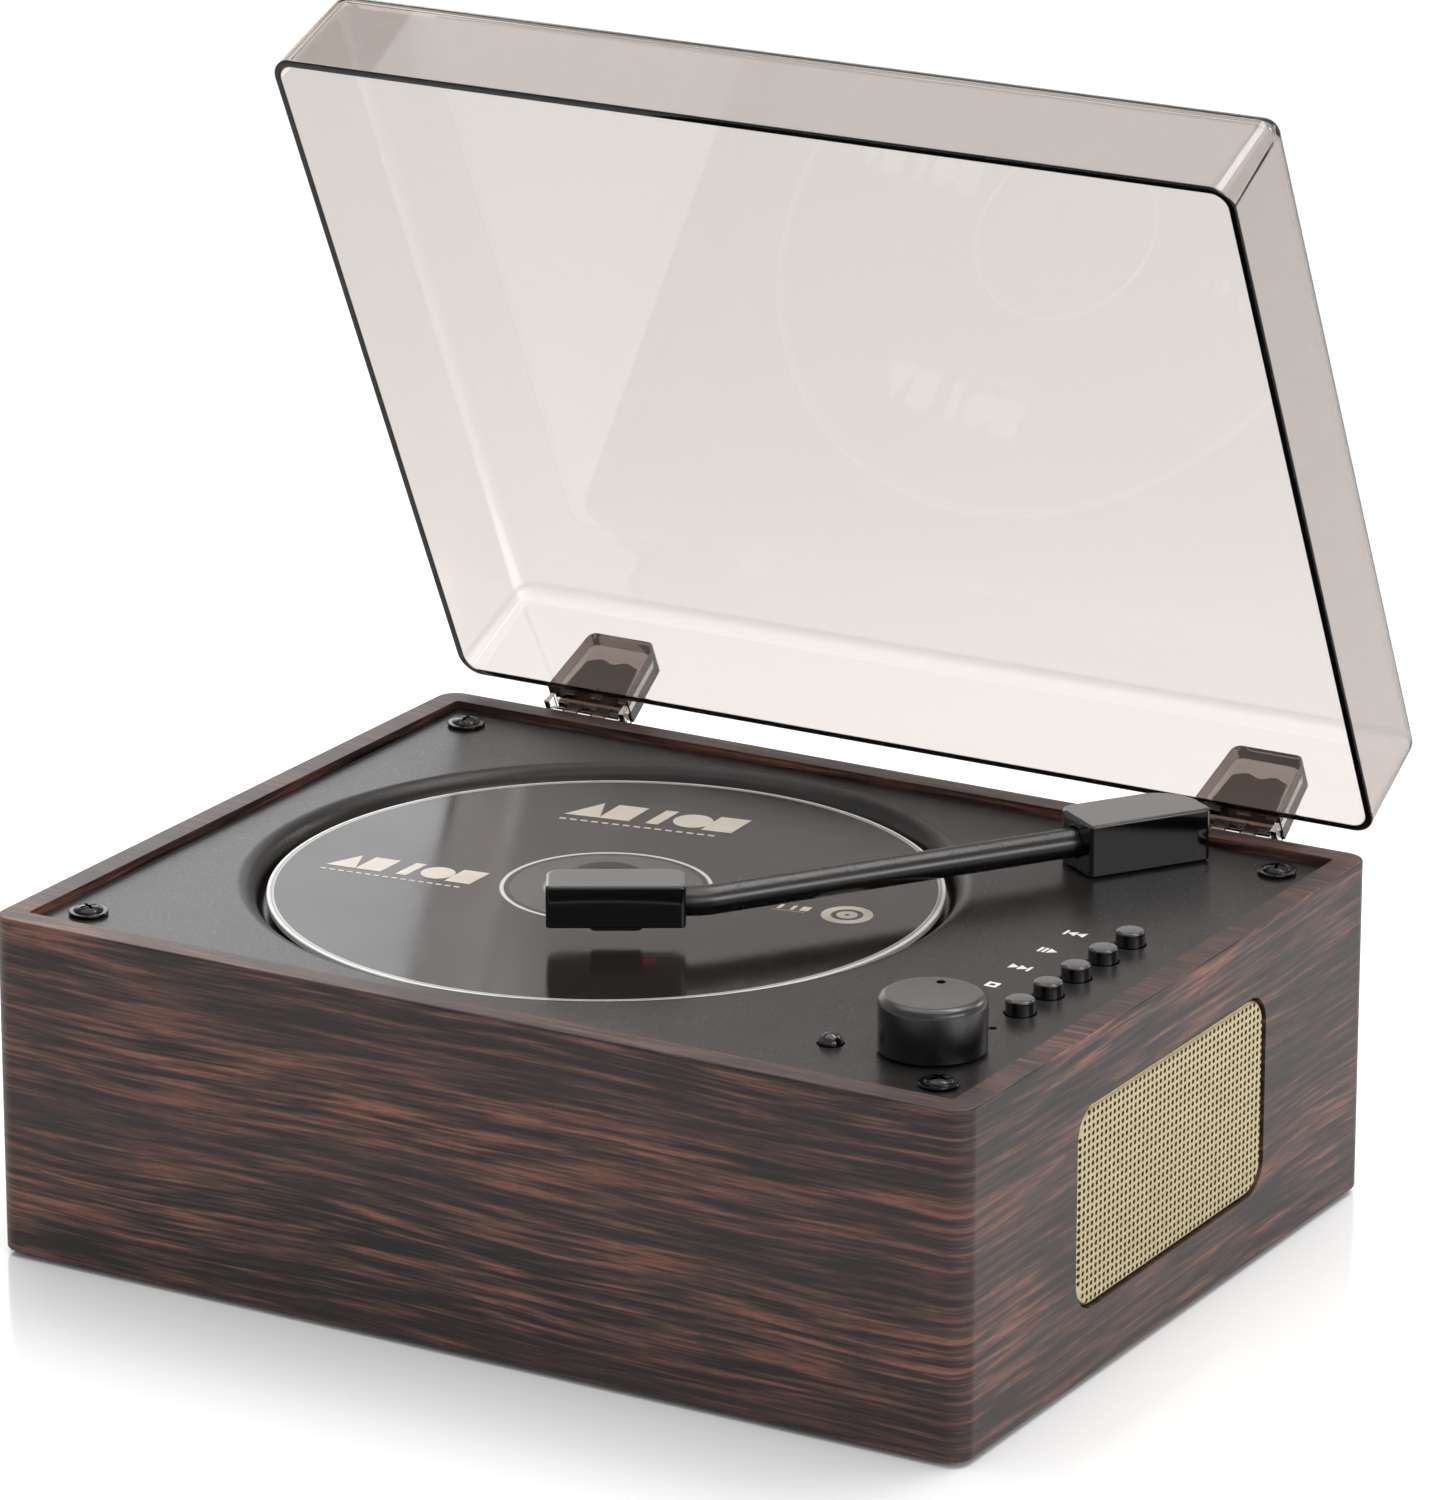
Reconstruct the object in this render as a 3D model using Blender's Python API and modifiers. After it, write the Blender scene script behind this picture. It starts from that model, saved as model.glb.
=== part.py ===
"""Tabletop disc player styled as a small record player.

Millimetre design values below are turned into metres by MM. The origin is at the middle of
the cabinet's footprint, on the surface that the player stands on; +Y points to the back.
"""

from math import cos, pi, radians, sin

import bmesh
import bpy
from mathutils import Matrix, Vector

MM = 0.001
GAP = 0.3                      # clearance between touching pieces
CUT = 2.0                      # how far a cutter runs past the face it cuts

# Cabinet
CAB_W, CAB_D, CAB_H = 193.0, 150.0, 62.0
CAB_R = 4.0                    # vertical corner radius
WALL = 5.0
WALL_R = 0.8                   # inner corner radius
PAD_H = 0.7                    # foot pad thickness
PAD_R = 6.0
PAD_INSET = 14.5               # pad centre from the cabinet's outer faces
CENTRE_FOOT_R = 15.0           # land under the base board's middle, level with the pads
BASE_T = 3.0
BASE_Z = PAD_H + GAP           # underside of cabinet and base board
RIM_Z = BASE_Z + CAB_H
INNER_W, INNER_D = CAB_W - 2 * WALL, CAB_D - 2 * WALL

# Deck and disc well
DECK_DROP = 1.5                # deck surface below the cabinet rim
DECK_T = 2.0
DECK_Z = RIM_Z - DECK_DROP
DECK_UNDER = DECK_Z - DECK_T
DISC_X, DISC_Y = 74.5 - INNER_W / 2, 0.7
DISC_R, DISC_T, DISC_BORE_R = 60.0, 1.2, 7.5
DISC_TOP = DECK_Z - 1.9
WELL_CLEAR = 1.5               # round the disc's edge
WELL_DEPTH = 2.0               # under the disc
WELL_LIP = 4.0                 # radius of the rolled lip
WELL_R = DISC_R + WELL_CLEAR
WELL_FLOOR = DISC_TOP - DISC_T - WELL_DEPTH
WELL_T = 2.4
PAN_R = WELL_R + 2.0
PAN_UNDER = WELL_FLOOR - WELL_T
SLOT_HALF = 9.0                # half width of the pickup slot

# Deck screws and the posts that they bite into
SCREW_X, SCREW_Y = INNER_W / 2 - 7.0, INNER_D / 2 - 8.0
SCREW_HEAD_R, SCREW_HEAD_H, SCREW_R, SCREW_L = 3.5, 1.3, 1.4, 10.0
POST_SIDE = 10.0

# Controls on the right of the deck
KNOB_X, KNOB_Y, KNOB_R, KNOB_H = INNER_W / 2 - 16.0, 22.0 - INNER_D / 2, 9.3, 9.7
KNOB_LIFT = 0.4                # knob's underside above the deck
BUTTONS = 5
BUTTON_X, BUTTON_Y0, BUTTON_PITCH = INNER_W / 2 - 12.0, KNOB_Y + 23.4, 10.0
BUTTON_R, BUTTON_RISE, BUTTON_TRAVEL = 2.6, 2.7, 0.8
FLANGE_OVER, FLANGE_T = 1.0, 1.2
BOARD_Z, BOARD_T = DECK_UNDER - 7.1, 1.6
SWITCH_SIDE, SWITCH_H = 5.0, 0.9
ENCODER_SIDE, ENCODER_H, ENCODER_SHAFT_R = 11.5, 4.6, 3.0
KNOB_SOCKET = 7.0              # how deep the shaft enters the knob
DOME_X, DOME_Y, DOME_R, DOME_RISE = KNOB_X - 16.2, KNOB_Y - 5.6, 2.1, 2.0

# Tonearm: the arm frame has +X from the headshell towards the base block
PIVOT_X, PIVOT_Y = DISC_X + 76.7, DISC_Y + 55.7
ARM_ANGLE = 56.0
ARM_L, ARM_W, ARM_H = 24.3, 13.0, 9.6
ARM_FRONT = 13.0               # pivot to the block's front face
PIVOT_R, PIVOT_DEPTH = 2.5, 6.5
HEAD_L, HEAD_W, HEAD_H = 24.3, 10.2, 7.6
HEAD_FLOOR = 0.35              # under the headshell's socket
FOOT_L, FOOT_W, FOOT_H = 9.0, 5.0, 1.1
FOOT_CLEAR = 0.6               # over the deck, so that the arm can swing
HEAD_RISE = FOOT_CLEAR + FOOT_H + GAP
TUBE_R = 2.65
TUBE_RISE = HEAD_RISE + HEAD_FLOOR + GAP + TUBE_R
TUBE_RUN, TUBE_BEND_R, TUBE_BEND = 70.4, 12.0, 25.5
TUBE_SHIFT = -0.5              # tube's line beside the pivot's
SOCKET = 4.0                   # tube's hold in the block and in the headshell

# Lid
LID_W, LID_D, LID_H, LID_WALL = CAB_W - 1.6, CAB_D - 4.5, 23.2, 1.5
LID_R, LID_TOP_R, LID_DRAFT = 4.5, 3.8, 1.0
LID_OPEN = 64.5                # opened angle, as modelled
LID_GAP = 0.4                  # lid above the rim when shut
LID_BACK = CAB_D / 2 - 1.0     # lid's rear face when shut

# Hinges
HINGE_X = CAB_W / 2 - 28.5
HINGE_W = 15.0
KNUCKLES = 5
PIN_R, KNUCKLE_R = 0.8, 1.6
KNUCKLE_BORE = PIN_R + GAP
HINGE_Y, HINGE_Z = CAB_D / 2 + KNUCKLE_R + 1.5, RIM_Z - 2.2
LEAF_T = 0.6
LEAF_UP = 13.2                 # lid leaf above the pin
LEAF_DOWN = 16.0               # cabinet leaf below the pin
POCKET_WALL = 1.2
POCKET_W, POCKET_H, POCKET_T = HINGE_W + 2 * POCKET_WALL, 15.0, 5.2
POCKET_TAPER = 1.5             # each side, from the rim to the top

# Speakers and grilles, the same on both sides
GRILLE_Y, GRILLE_Z = -0.5, BASE_Z + CAB_H / 2
GRILLE_L, GRILLE_H, GRILLE_R = 70.0, 37.0, 6.0
GRILLE_GAP, GRILLE_T, RECESS = 0.4, 1.7, 2.2
SPEAKER_R, MAGNET_R, SPEAKER_DEPTH = 16.9, 11.0, 19.0
SPEAKER_HOLE_R = SPEAKER_R + 0.6

# Disc mechanism, hung under the deck
CHASSIS_Z, CHASSIS_T = PAN_UNDER - 4.5, 1.5
CHASSIS_HALF, CHASSIS_BACK = 31.0, 24.0        # from the disc's centre
HUB_R, HUB_BOSS_R, HUB_RISE = 15.0, 7.2, 2.8
HUB_UNDER = PAN_UNDER + 1.0
SHAFT_R = 1.0
MOTOR_R, MOTOR_H, BEARING_R = 12.0, 9.0, 3.2
RUN_CLEAR = 0.5                # round the sled at the ends of its travel
ROD_X, ROD_Z, ROD_R = 17.0, CHASSIS_Z - 4.0, 1.5
SLED_L, SLED_W, SLED_IN = 16.0, 41.0, 24.5
SLED_TRAVEL = DISC_R - SLED_IN - 3.0           # out to 3 mm inside the disc's edge
LENS_R, LENS_TRAVEL = 2.8, 0.4
LEAD_X, LEAD_Z, LEAD_R = 23.5, CHASSIS_Z - 6.3, 1.5
SLED_MOTOR_R, SLED_MOTOR_L = 5.8, 15.0
END_PLATE = 2.2                # thickness of the rods' end plates
PLATE_EDGE = 3.5               # of the end plates, past the rods and the lead screw
DAMPER_X, DAMPER_R, DAMPER_NECK = 26.0, 4.0, 2.6
STAKE_R = 0.9

# Back panel with its sockets
MAIN_Z, MAIN_T = BASE_Z + BASE_T + 11.0, 1.6
MAIN_LEFT, MAIN_RIGHT, MAIN_FRONT, MAIN_BACK = -56.0, 46.0, -40.0, INNER_D / 2 - 2.0
STANDOFF_R, STANDOFF_IN = 2.5, 6.0             # and how far in from the board's edges
PANEL_Z, PANEL_W, PANEL_H, PANEL_T = MAIN_Z + 6.0, 50.0, 16.0, 1.5
PANEL_HOLE_W, PANEL_HOLE_H = PANEL_W - 8.0, PANEL_H - 6.0
INLET_X, JACK_X, SWITCH_X = -14.0, 0.0, 14.0
INLET_W, INLET_H = 9.0, 3.2
JACK_R, JACK_BORE_R = 2.9, 1.8
SLIDER_W, SLIDER_H, SWITCH_TRAVEL = 4.0, 3.2, 3.0

FRONT, BACK = -1, 1

PAINTS = {                     # colour, roughness, metallic
    "wood": ((0.10, 0.055, 0.042), 0.45, 0.0),
    "board": ((0.20, 0.14, 0.09), 0.7, 0.0),
    "deck": ((0.035, 0.033, 0.032), 0.5, 0.0),
    "gloss": ((0.006, 0.006, 0.007), 0.12, 0.0),
    "label": ((0.07, 0.058, 0.055), 0.25, 0.0),
    "gold": ((0.56, 0.50, 0.34), 0.35, 0.9),
    "steel": ((0.55, 0.55, 0.56), 0.3, 1.0),
    "chrome": ((0.8, 0.8, 0.8), 0.1, 1.0),
    "smoke": ((0.25, 0.22, 0.20), 0.08, 0.0),
    "rubber": ((0.02, 0.02, 0.02), 0.85, 0.0),
    "plastic": ((0.05, 0.05, 0.05), 0.55, 0.0),
    "cone": ((0.03, 0.03, 0.03), 0.8, 0.0),
    "circuit": ((0.02, 0.10, 0.05), 0.5, 0.0),
    "lens": ((0.20, 0.25, 0.45), 0.05, 0.0),
}


# --- scene set-up ------------------------------------------------------------

def clear_scene():
    for thing in list(bpy.data.objects):
        bpy.data.objects.remove(thing, do_unlink=True)
    for group in list(bpy.data.collections):
        bpy.data.collections.remove(group)


def new_collection(name):
    group = bpy.data.collections.new(name)
    bpy.context.scene.collection.children.link(group)
    return group


clear_scene()
PLAYER = new_collection("disc_player")
CUTTERS = new_collection("cutters")


def paint(obj, kind):
    """Give the object its own Principled material."""
    colour, roughness, metallic = PAINTS[kind]
    material = bpy.data.materials.new(obj.name + "_" + kind)
    material.use_nodes = True
    shader = material.node_tree.nodes["Principled BSDF"]
    shader.inputs["Base Color"].default_value = (*colour, 1.0)
    shader.inputs["Roughness"].default_value = roughness
    shader.inputs["Metallic"].default_value = metallic
    obj.data.materials.clear()
    obj.data.materials.append(material)


def add_object(name, data, kind=None, parent=None, at=(0, 0, 0)):
    """Link an object: into the player, or into the cutters when it has no finish."""
    obj = bpy.data.objects.new(name, data)
    obj.location = Vector(at) * MM
    obj.parent = parent
    (PLAYER if kind else CUTTERS).objects.link(obj)
    if kind:
        paint(obj, kind)
    else:
        obj.hide_render = True
        obj.display_type = "WIRE"
    return obj


def add_empty(name, at, rotation=(0, 0, 0), parent=None):
    """An empty on a joint's axis, for the pieces that turn or slide with it."""
    empty = bpy.data.objects.new(name, None)
    empty.location = Vector(at) * MM
    empty.rotation_euler = rotation
    empty.parent = parent
    PLAYER.objects.link(empty)
    return empty


def mesh_from(bm, name):
    bmesh.ops.recalc_face_normals(bm, faces=bm.faces)
    mesh = bpy.data.meshes.new(name)
    bm.to_mesh(mesh)
    bm.free()
    return mesh


def smooth(obj, angle=35):
    obj.data.shade_smooth()
    obj.data.set_sharp_from_angle(angle=radians(angle))
    return obj


# --- shapes ------------------------------------------------------------------

def box_bm(low, high):
    """A box between two corners."""
    low, high = Vector(low) * MM, Vector(high) * MM
    bm = bmesh.new()
    bmesh.ops.create_cube(bm, size=1.0)
    size = high - low
    middle = (high + low) / 2
    bmesh.ops.transform(bm, matrix=Matrix.Translation(middle) @ Matrix.Diagonal((*size, 1)), verts=bm.verts)
    return bm


def edges_along(bm, axis):
    """The edges that run along one axis."""
    others = [i for i in range(3) if i != axis]
    return [e for e in bm.edges
            if all(abs(e.verts[0].co[i] - e.verts[1].co[i]) < 1e-6 for i in others)]


def box(name, low, high, kind=None, radius=0.0, axis=2, steps=4, parent=None, at=(0, 0, 0)):
    """A box, its four edges along the axis rounded where a radius is given."""
    bm = box_bm(low, high)
    if radius:
        bmesh.ops.bevel(bm, geom=edges_along(bm, axis), offset=radius * MM, segments=steps,
                        affect="EDGES", profile=0.5, clamp_overlap=True)
    return add_object(name, mesh_from(bm, name), kind, parent, at)


def arc(centre, radius, start, end, steps):
    """Points on an arc, angles in degrees."""
    return [(centre[0] + radius * cos(radians(start + (end - start) * i / steps)),
             centre[1] + radius * sin(radians(start + (end - start) * i / steps)))
            for i in range(steps + 1)]


def turned(name, profile, kind=None, steps=24, axis="Z", parent=None, at=(0, 0, 0)):
    """A turned solid: (radius, height) points from the top, down the outer side, to the bottom."""
    mesh = bpy.data.meshes.new(name)
    points = [(r * MM, 0.0, h * MM) for r, h in profile]
    if profile[0][0] > 0 and profile[-1][0] > 0:
        edges = [(i, (i + 1) % len(points)) for i in range(len(points))]
    else:
        edges = [(i, i + 1) for i in range(len(points) - 1)]
    mesh.from_pydata(points, edges, [])
    obj = add_object(name, mesh, kind, parent, at)
    screw = obj.modifiers.new("turn", "SCREW")
    screw.axis = "Z"
    screw.steps = steps
    screw.render_steps = steps
    screw.use_merge_vertices = True
    screw.merge_threshold = 0.00001
    if axis == "X":
        obj.rotation_euler = (0, pi / 2, 0)
    elif axis == "Y":
        obj.rotation_euler = (-pi / 2, 0, 0)
    return obj


def rod(name, radius, low, high, kind=None, steps=20, axis="Z", parent=None, at=(0, 0, 0)):
    """A plain cylinder along an axis, between two heights."""
    return turned(name, [(0, high), (radius, high), (radius, low), (0, low)],
                  kind, steps, axis, parent, at)


def ring_profile(inner, outer, low, high):
    return [(inner, high), (outer, high), (outer, low), (inner, low)]


def outline(name, points, thickness, kind=None, parent=None, at=(0, 0, 0)):
    """A flat outline in XY, as thick as given, upwards from z = 0."""
    bm = bmesh.new()
    verts = [bm.verts.new((x * MM, y * MM, 0)) for x, y in points]
    face = bm.faces.new(verts)
    lifted = bmesh.ops.extrude_face_region(bm, geom=[face])
    moved = [v for v in lifted["geom"] if isinstance(v, bmesh.types.BMVert)]
    bmesh.ops.translate(bm, verts=moved, vec=(0, 0, thickness * MM))
    return add_object(name, mesh_from(bm, name), kind, parent, at)


def rounded(low, high, radii, steps=4):
    """A rectangle's outline with its own radius at each corner, anticlockwise from low."""
    (x0, y0), (x1, y1) = low, high
    corners = [((x0, y0), 180), ((x1, y0), 270), ((x1, y1), 0), ((x0, y1), 90)]
    points = []
    for ((x, y), start), r in zip(corners, radii):
        inward_x = r if x == x0 else -r
        inward_y = r if y == y0 else -r
        points += arc((x + inward_x, y + inward_y), r, start, start + 90, steps)
    return points


def boolean(obj, other, operation):
    """Cut a cutter from a piece, or join a joiner to it."""
    modifier = obj.modifiers.new(operation.lower() + "_" + other.name, "BOOLEAN")
    modifier.operation = operation
    modifier.object = other
    modifier.solver = "EXACT"


def cut(obj, *cutters):
    for cutter in cutters:
        boolean(obj, cutter, "DIFFERENCE")
    return obj


def join(obj, *joiners):
    for joiner in joiners:
        boolean(obj, joiner, "UNION")
    return obj


def bevel(obj, width, segments=2, angle=40):
    modifier = obj.modifiers.new("edges", "BEVEL")
    modifier.width = width * MM
    modifier.segments = segments
    modifier.limit_method = "ANGLE"
    modifier.angle_limit = radians(angle)
    return obj


# --- cabinet -----------------------------------------------------------------

def mirrored(side, low, high):
    """The x span of something that is given for the right side."""
    return (low, high) if side > 0 else (-high, -low)


def standoff_places():
    left, right = MAIN_LEFT + STANDOFF_IN, MAIN_RIGHT - STANDOFF_IN
    front, back = MAIN_FRONT + STANDOFF_IN, MAIN_BACK - STANDOFF_IN
    return ((left, front), (right, front), (left, back), (right, back))


def make_cabinet():
    half_w, half_d = CAB_W / 2, CAB_D / 2
    shell = box("cabinet_shell", (-half_w, -half_d, BASE_Z), (half_w, half_d, RIM_Z), "wood",
                radius=CAB_R, steps=6)
    cut(shell, box("cabinet_hollow", (-INNER_W / 2, -INNER_D / 2, BASE_Z - CUT),
                   (INNER_W / 2, INNER_D / 2, RIM_Z + CUT), radius=WALL_R, steps=3))
    for side, word in ((-1, "left"), (1, "right")):
        x0, x1 = mirrored(side, half_w - RECESS, half_w + CUT)
        cut(shell, box(word + "_grille_recess", (x0, GRILLE_Y - GRILLE_L / 2, GRILLE_Z - GRILLE_H / 2),
                       (x1, GRILLE_Y + GRILLE_L / 2, GRILLE_Z + GRILLE_H / 2), radius=GRILLE_R, axis=0))
        x0, x1 = mirrored(side, INNER_W / 2 - CUT, half_w - RECESS + 1)
        cut(shell, rod(word + "_speaker_hole", SPEAKER_HOLE_R, x0, x1, axis="X", steps=24,
                       at=(0, GRILLE_Y, GRILLE_Z)))
    cut(shell, box("panel_opening", (-PANEL_HOLE_W / 2, INNER_D / 2 - CUT, PANEL_Z - PANEL_HOLE_H / 2),
                   (PANEL_HOLE_W / 2, half_d + CUT, PANEL_Z + PANEL_HOLE_H / 2), radius=1.5, axis=1))

    in_w, in_d = INNER_W / 2 - GAP, INNER_D / 2 - GAP
    base = box("base_board", (-in_w, -in_d, BASE_Z), (in_w, in_d, BASE_Z + BASE_T), "board",
               radius=WALL_R, steps=3)
    for i, (x, y) in enumerate(standoff_places()):
        join(base, rod("standoff_%d" % (i + 1), STANDOFF_R, BASE_Z + BASE_T - 1, MAIN_Z - GAP,
                       steps=12, at=(x, y, 0)))
    join(base, rod("centre_foot", CENTRE_FOOT_R, 0, BASE_Z + 1, steps=32))
    pad_x, pad_y = half_w - PAD_INSET, half_d - PAD_INSET
    corners = ((-1, FRONT), (1, FRONT), (1, BACK), (-1, BACK))
    for i, (sx, sy) in enumerate(corners):
        rod("foot_pad_%d" % (i + 1), PAD_R, 0, PAD_H, "rubber", at=(sx * pad_x, sy * pad_y, 0))
        post = box("corner_post_%d" % (i + 1), (-POST_SIDE / 2, -POST_SIDE / 2, BASE_Z + BASE_T + GAP),
                   (POST_SIDE / 2, POST_SIDE / 2, DECK_UNDER - GAP), "board", radius=1, steps=1,
                   at=(sx * SCREW_X, sy * SCREW_Y, 0))
        cut(post, rod("pilot_%d" % (i + 1), SCREW_R + GAP, DECK_Z - SCREW_L - 1, DECK_Z + CUT, steps=12,
                      at=(sx * SCREW_X, sy * SCREW_Y, 0)))


# --- deck --------------------------------------------------------------------

def deck_screw_profile():
    head = DECK_Z + GAP
    top = head + SCREW_HEAD_H
    return [(0, top), (SCREW_HEAD_R * 0.55, top), (SCREW_HEAD_R * 0.85, top - 0.4),
            (SCREW_HEAD_R, head + 0.4), (SCREW_HEAD_R, head), (SCREW_R, head),
            (SCREW_R, DECK_Z - SCREW_L + 1), (0, DECK_Z - SCREW_L)]


def well_profile():
    """The dish above the well's floor, with its rolled lip."""
    lip = arc((WELL_R + WELL_LIP, DECK_Z - WELL_LIP), WELL_LIP, 90, 180, 4)
    return ([(0, DECK_Z + CUT), (WELL_R + WELL_LIP, DECK_Z + CUT)] + lip
            + [(WELL_R, WELL_FLOOR), (0, WELL_FLOOR)])


def make_deck():
    half_w, half_d = INNER_W / 2 - GAP, INNER_D / 2 - GAP
    deck = box("deck", (-half_w, -half_d, DECK_UNDER), (half_w, half_d, DECK_Z), "deck",
               radius=WALL_R, steps=3)
    disc_at = (DISC_X, DISC_Y, 0)
    join(deck, rod("pan", PAN_R, PAN_UNDER, DECK_Z - DECK_T / 2, steps=64, at=disc_at))
    for i, (x, y) in enumerate(damper_places()):
        join(deck, rod("stake_%d" % (i + 1), STAKE_R, CHASSIS_Z - 2.0, PAN_UNDER + 1, steps=12,
                       at=(x, y, 0)))
    cut(deck, turned("well", well_profile(), steps=64, at=disc_at))
    cut(deck, rod("hub_hole", HUB_R + 1.5, PAN_UNDER - CUT, WELL_FLOOR + CUT, steps=24, at=disc_at))
    slot_end = DISC_Y - WELL_R + 0.5
    cut(deck, box("pickup_slot", (DISC_X - SLOT_HALF, slot_end, PAN_UNDER - CUT),
                  (DISC_X + SLOT_HALF, DISC_Y - HUB_R + 3, WELL_FLOOR + CUT)))
    for sx in (-1, 1):
        for sy in (FRONT, BACK):
            place = (sx * SCREW_X, sy * SCREW_Y, 0)
            tag = "%s_%s" % ("left" if sx < 0 else "right", "front" if sy < 0 else "back")
            turned("deck_screw_" + tag, deck_screw_profile(), "gloss", steps=16, at=place)
            cut(deck, hole("screw_hole_" + tag, SCREW_R + GAP, place))
    for i in range(BUTTONS):
        cut(deck, hole("button_hole_%d" % (i + 1), BUTTON_R + GAP, button_place(i)))
    cut(deck, hole("encoder_hole", ENCODER_SHAFT_R + GAP, (KNOB_X, KNOB_Y, 0)))
    cut(deck, hole("dome_hole", DOME_R + GAP, (DOME_X, DOME_Y, 0)))
    cut(deck, hole("pivot_hole", PIVOT_R + GAP, (PIVOT_X, PIVOT_Y, 0)))


def hole(name, radius, place):
    return rod(name, radius, DECK_UNDER - CUT, DECK_Z + CUT, steps=16, at=place)


# --- controls ----------------------------------------------------------------

def button_place(i):
    return (BUTTON_X, BUTTON_Y0 + i * BUTTON_PITCH, 0)


def button_profile():
    top = DECK_Z + BUTTON_RISE
    flange = DECK_UNDER - GAP
    foot = switch_top() + GAP + BUTTON_TRAVEL
    return [(0, top), (BUTTON_R - 0.5, top), (BUTTON_R, top - 0.5), (BUTTON_R, flange),
            (BUTTON_R + FLANGE_OVER, flange), (BUTTON_R + FLANGE_OVER, flange - FLANGE_T),
            (1.2, flange - FLANGE_T), (1.2, foot), (0, foot)]


def board_top():
    return BOARD_Z + BOARD_T


def switch_top():
    return board_top() + SWITCH_H


def make_controls():
    for i in range(BUTTONS):
        slide = add_empty("button_slide_%d" % (i + 1), button_place(i))
        turned("button_%d" % (i + 1), button_profile(), "gloss", steps=16, parent=slide)
    board = box("button_board", (DOME_X - 5, DOME_Y - 2.9, BOARD_Z),
                (INNER_W / 2 - 2, BUTTON_Y0 + BUTTON_PITCH * (BUTTONS - 1) + 6, board_top()), "circuit")
    half = SWITCH_SIDE / 2
    for i in range(BUTTONS):
        x, y, _ = button_place(i)
        join(board, box("switch_%d" % (i + 1), (x - half, y - half, BOARD_Z + BOARD_T / 2),
                        (x + half, y + half, switch_top())))
    half = ENCODER_SIDE / 2
    low = board_top() + GAP
    encoder = box("volume_encoder", (KNOB_X - half, KNOB_Y - half, low),
                  (KNOB_X + half, KNOB_Y + half, low + ENCODER_H), "steel")
    join(encoder, rod("encoder_shaft", ENCODER_SHAFT_R, low + 1, DECK_Z + KNOB_SOCKET - GAP,
                      at=(KNOB_X, KNOB_Y, 0)))
    spin = add_empty("knob_axis", (KNOB_X, KNOB_Y, 0))
    under = DECK_Z + KNOB_LIFT
    top = under + KNOB_H
    bore = ENCODER_SHAFT_R + GAP
    edge = 1.6
    turned("volume_knob", [(0, top)] + arc((KNOB_R - edge, top - edge), edge, 90, 0, 3) + [
           (KNOB_R, under), (bore, under), (bore, DECK_Z + KNOB_SOCKET), (0, DECK_Z + KNOB_SOCKET)],
           "gloss", steps=28, parent=spin)
    dome_top = DECK_Z + DOME_RISE
    turned("ir_dome", [(0, dome_top), (DOME_R * 0.5, dome_top - 0.27), (DOME_R * 0.87, dome_top - 1.0),
                       (DOME_R, dome_top - 1.9), (DOME_R, board_top() + GAP), (0, board_top() + GAP)],
           "gloss", steps=16, at=(DOME_X, DOME_Y, 0))


# --- tonearm -----------------------------------------------------------------

def tube_points():
    """The tube's line in the arm frame, from inside the block to inside the headshell."""
    start = -ARM_FRONT + SOCKET - GAP
    bend_at = -ARM_FRONT - TUBE_RUN
    bend = arc((bend_at, TUBE_SHIFT + TUBE_BEND_R), TUBE_BEND_R, 270, 270 - TUBE_BEND, 8)
    heading = Vector((-cos(radians(TUBE_BEND)), sin(radians(TUBE_BEND))))
    end = Vector(bend[-1]) + heading * (SOCKET - GAP)
    return [(start, TUBE_SHIFT)] + bend + [tuple(end)]


def tube_curve(name, points, radius, height, kind, parent):
    """A round tube on a poly spline, made a mesh so that its caps are welded on."""
    curve = bpy.data.curves.new(name, "CURVE")
    curve.dimensions = "3D"
    curve.bevel_depth = radius * MM
    curve.bevel_resolution = 3
    curve.use_fill_caps = True
    spline = curve.splines.new("POLY")
    spline.points.add(len(points) - 1)
    for point, (x, y) in zip(spline.points, points):
        point.co = (x * MM, y * MM, height * MM, 1)
    guide = bpy.data.objects.new(name + "_curve", curve)
    CUTTERS.objects.link(guide)
    mesh = bpy.data.meshes.new_from_object(guide.evaluated_get(bpy.context.evaluated_depsgraph_get()))
    bpy.data.objects.remove(guide, do_unlink=True)
    bm = bmesh.new()
    bm.from_mesh(mesh)
    bmesh.ops.remove_doubles(bm, verts=bm.verts, dist=0.00001)
    return smooth(add_object(name, mesh_from(bm, name), kind, parent))


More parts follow.
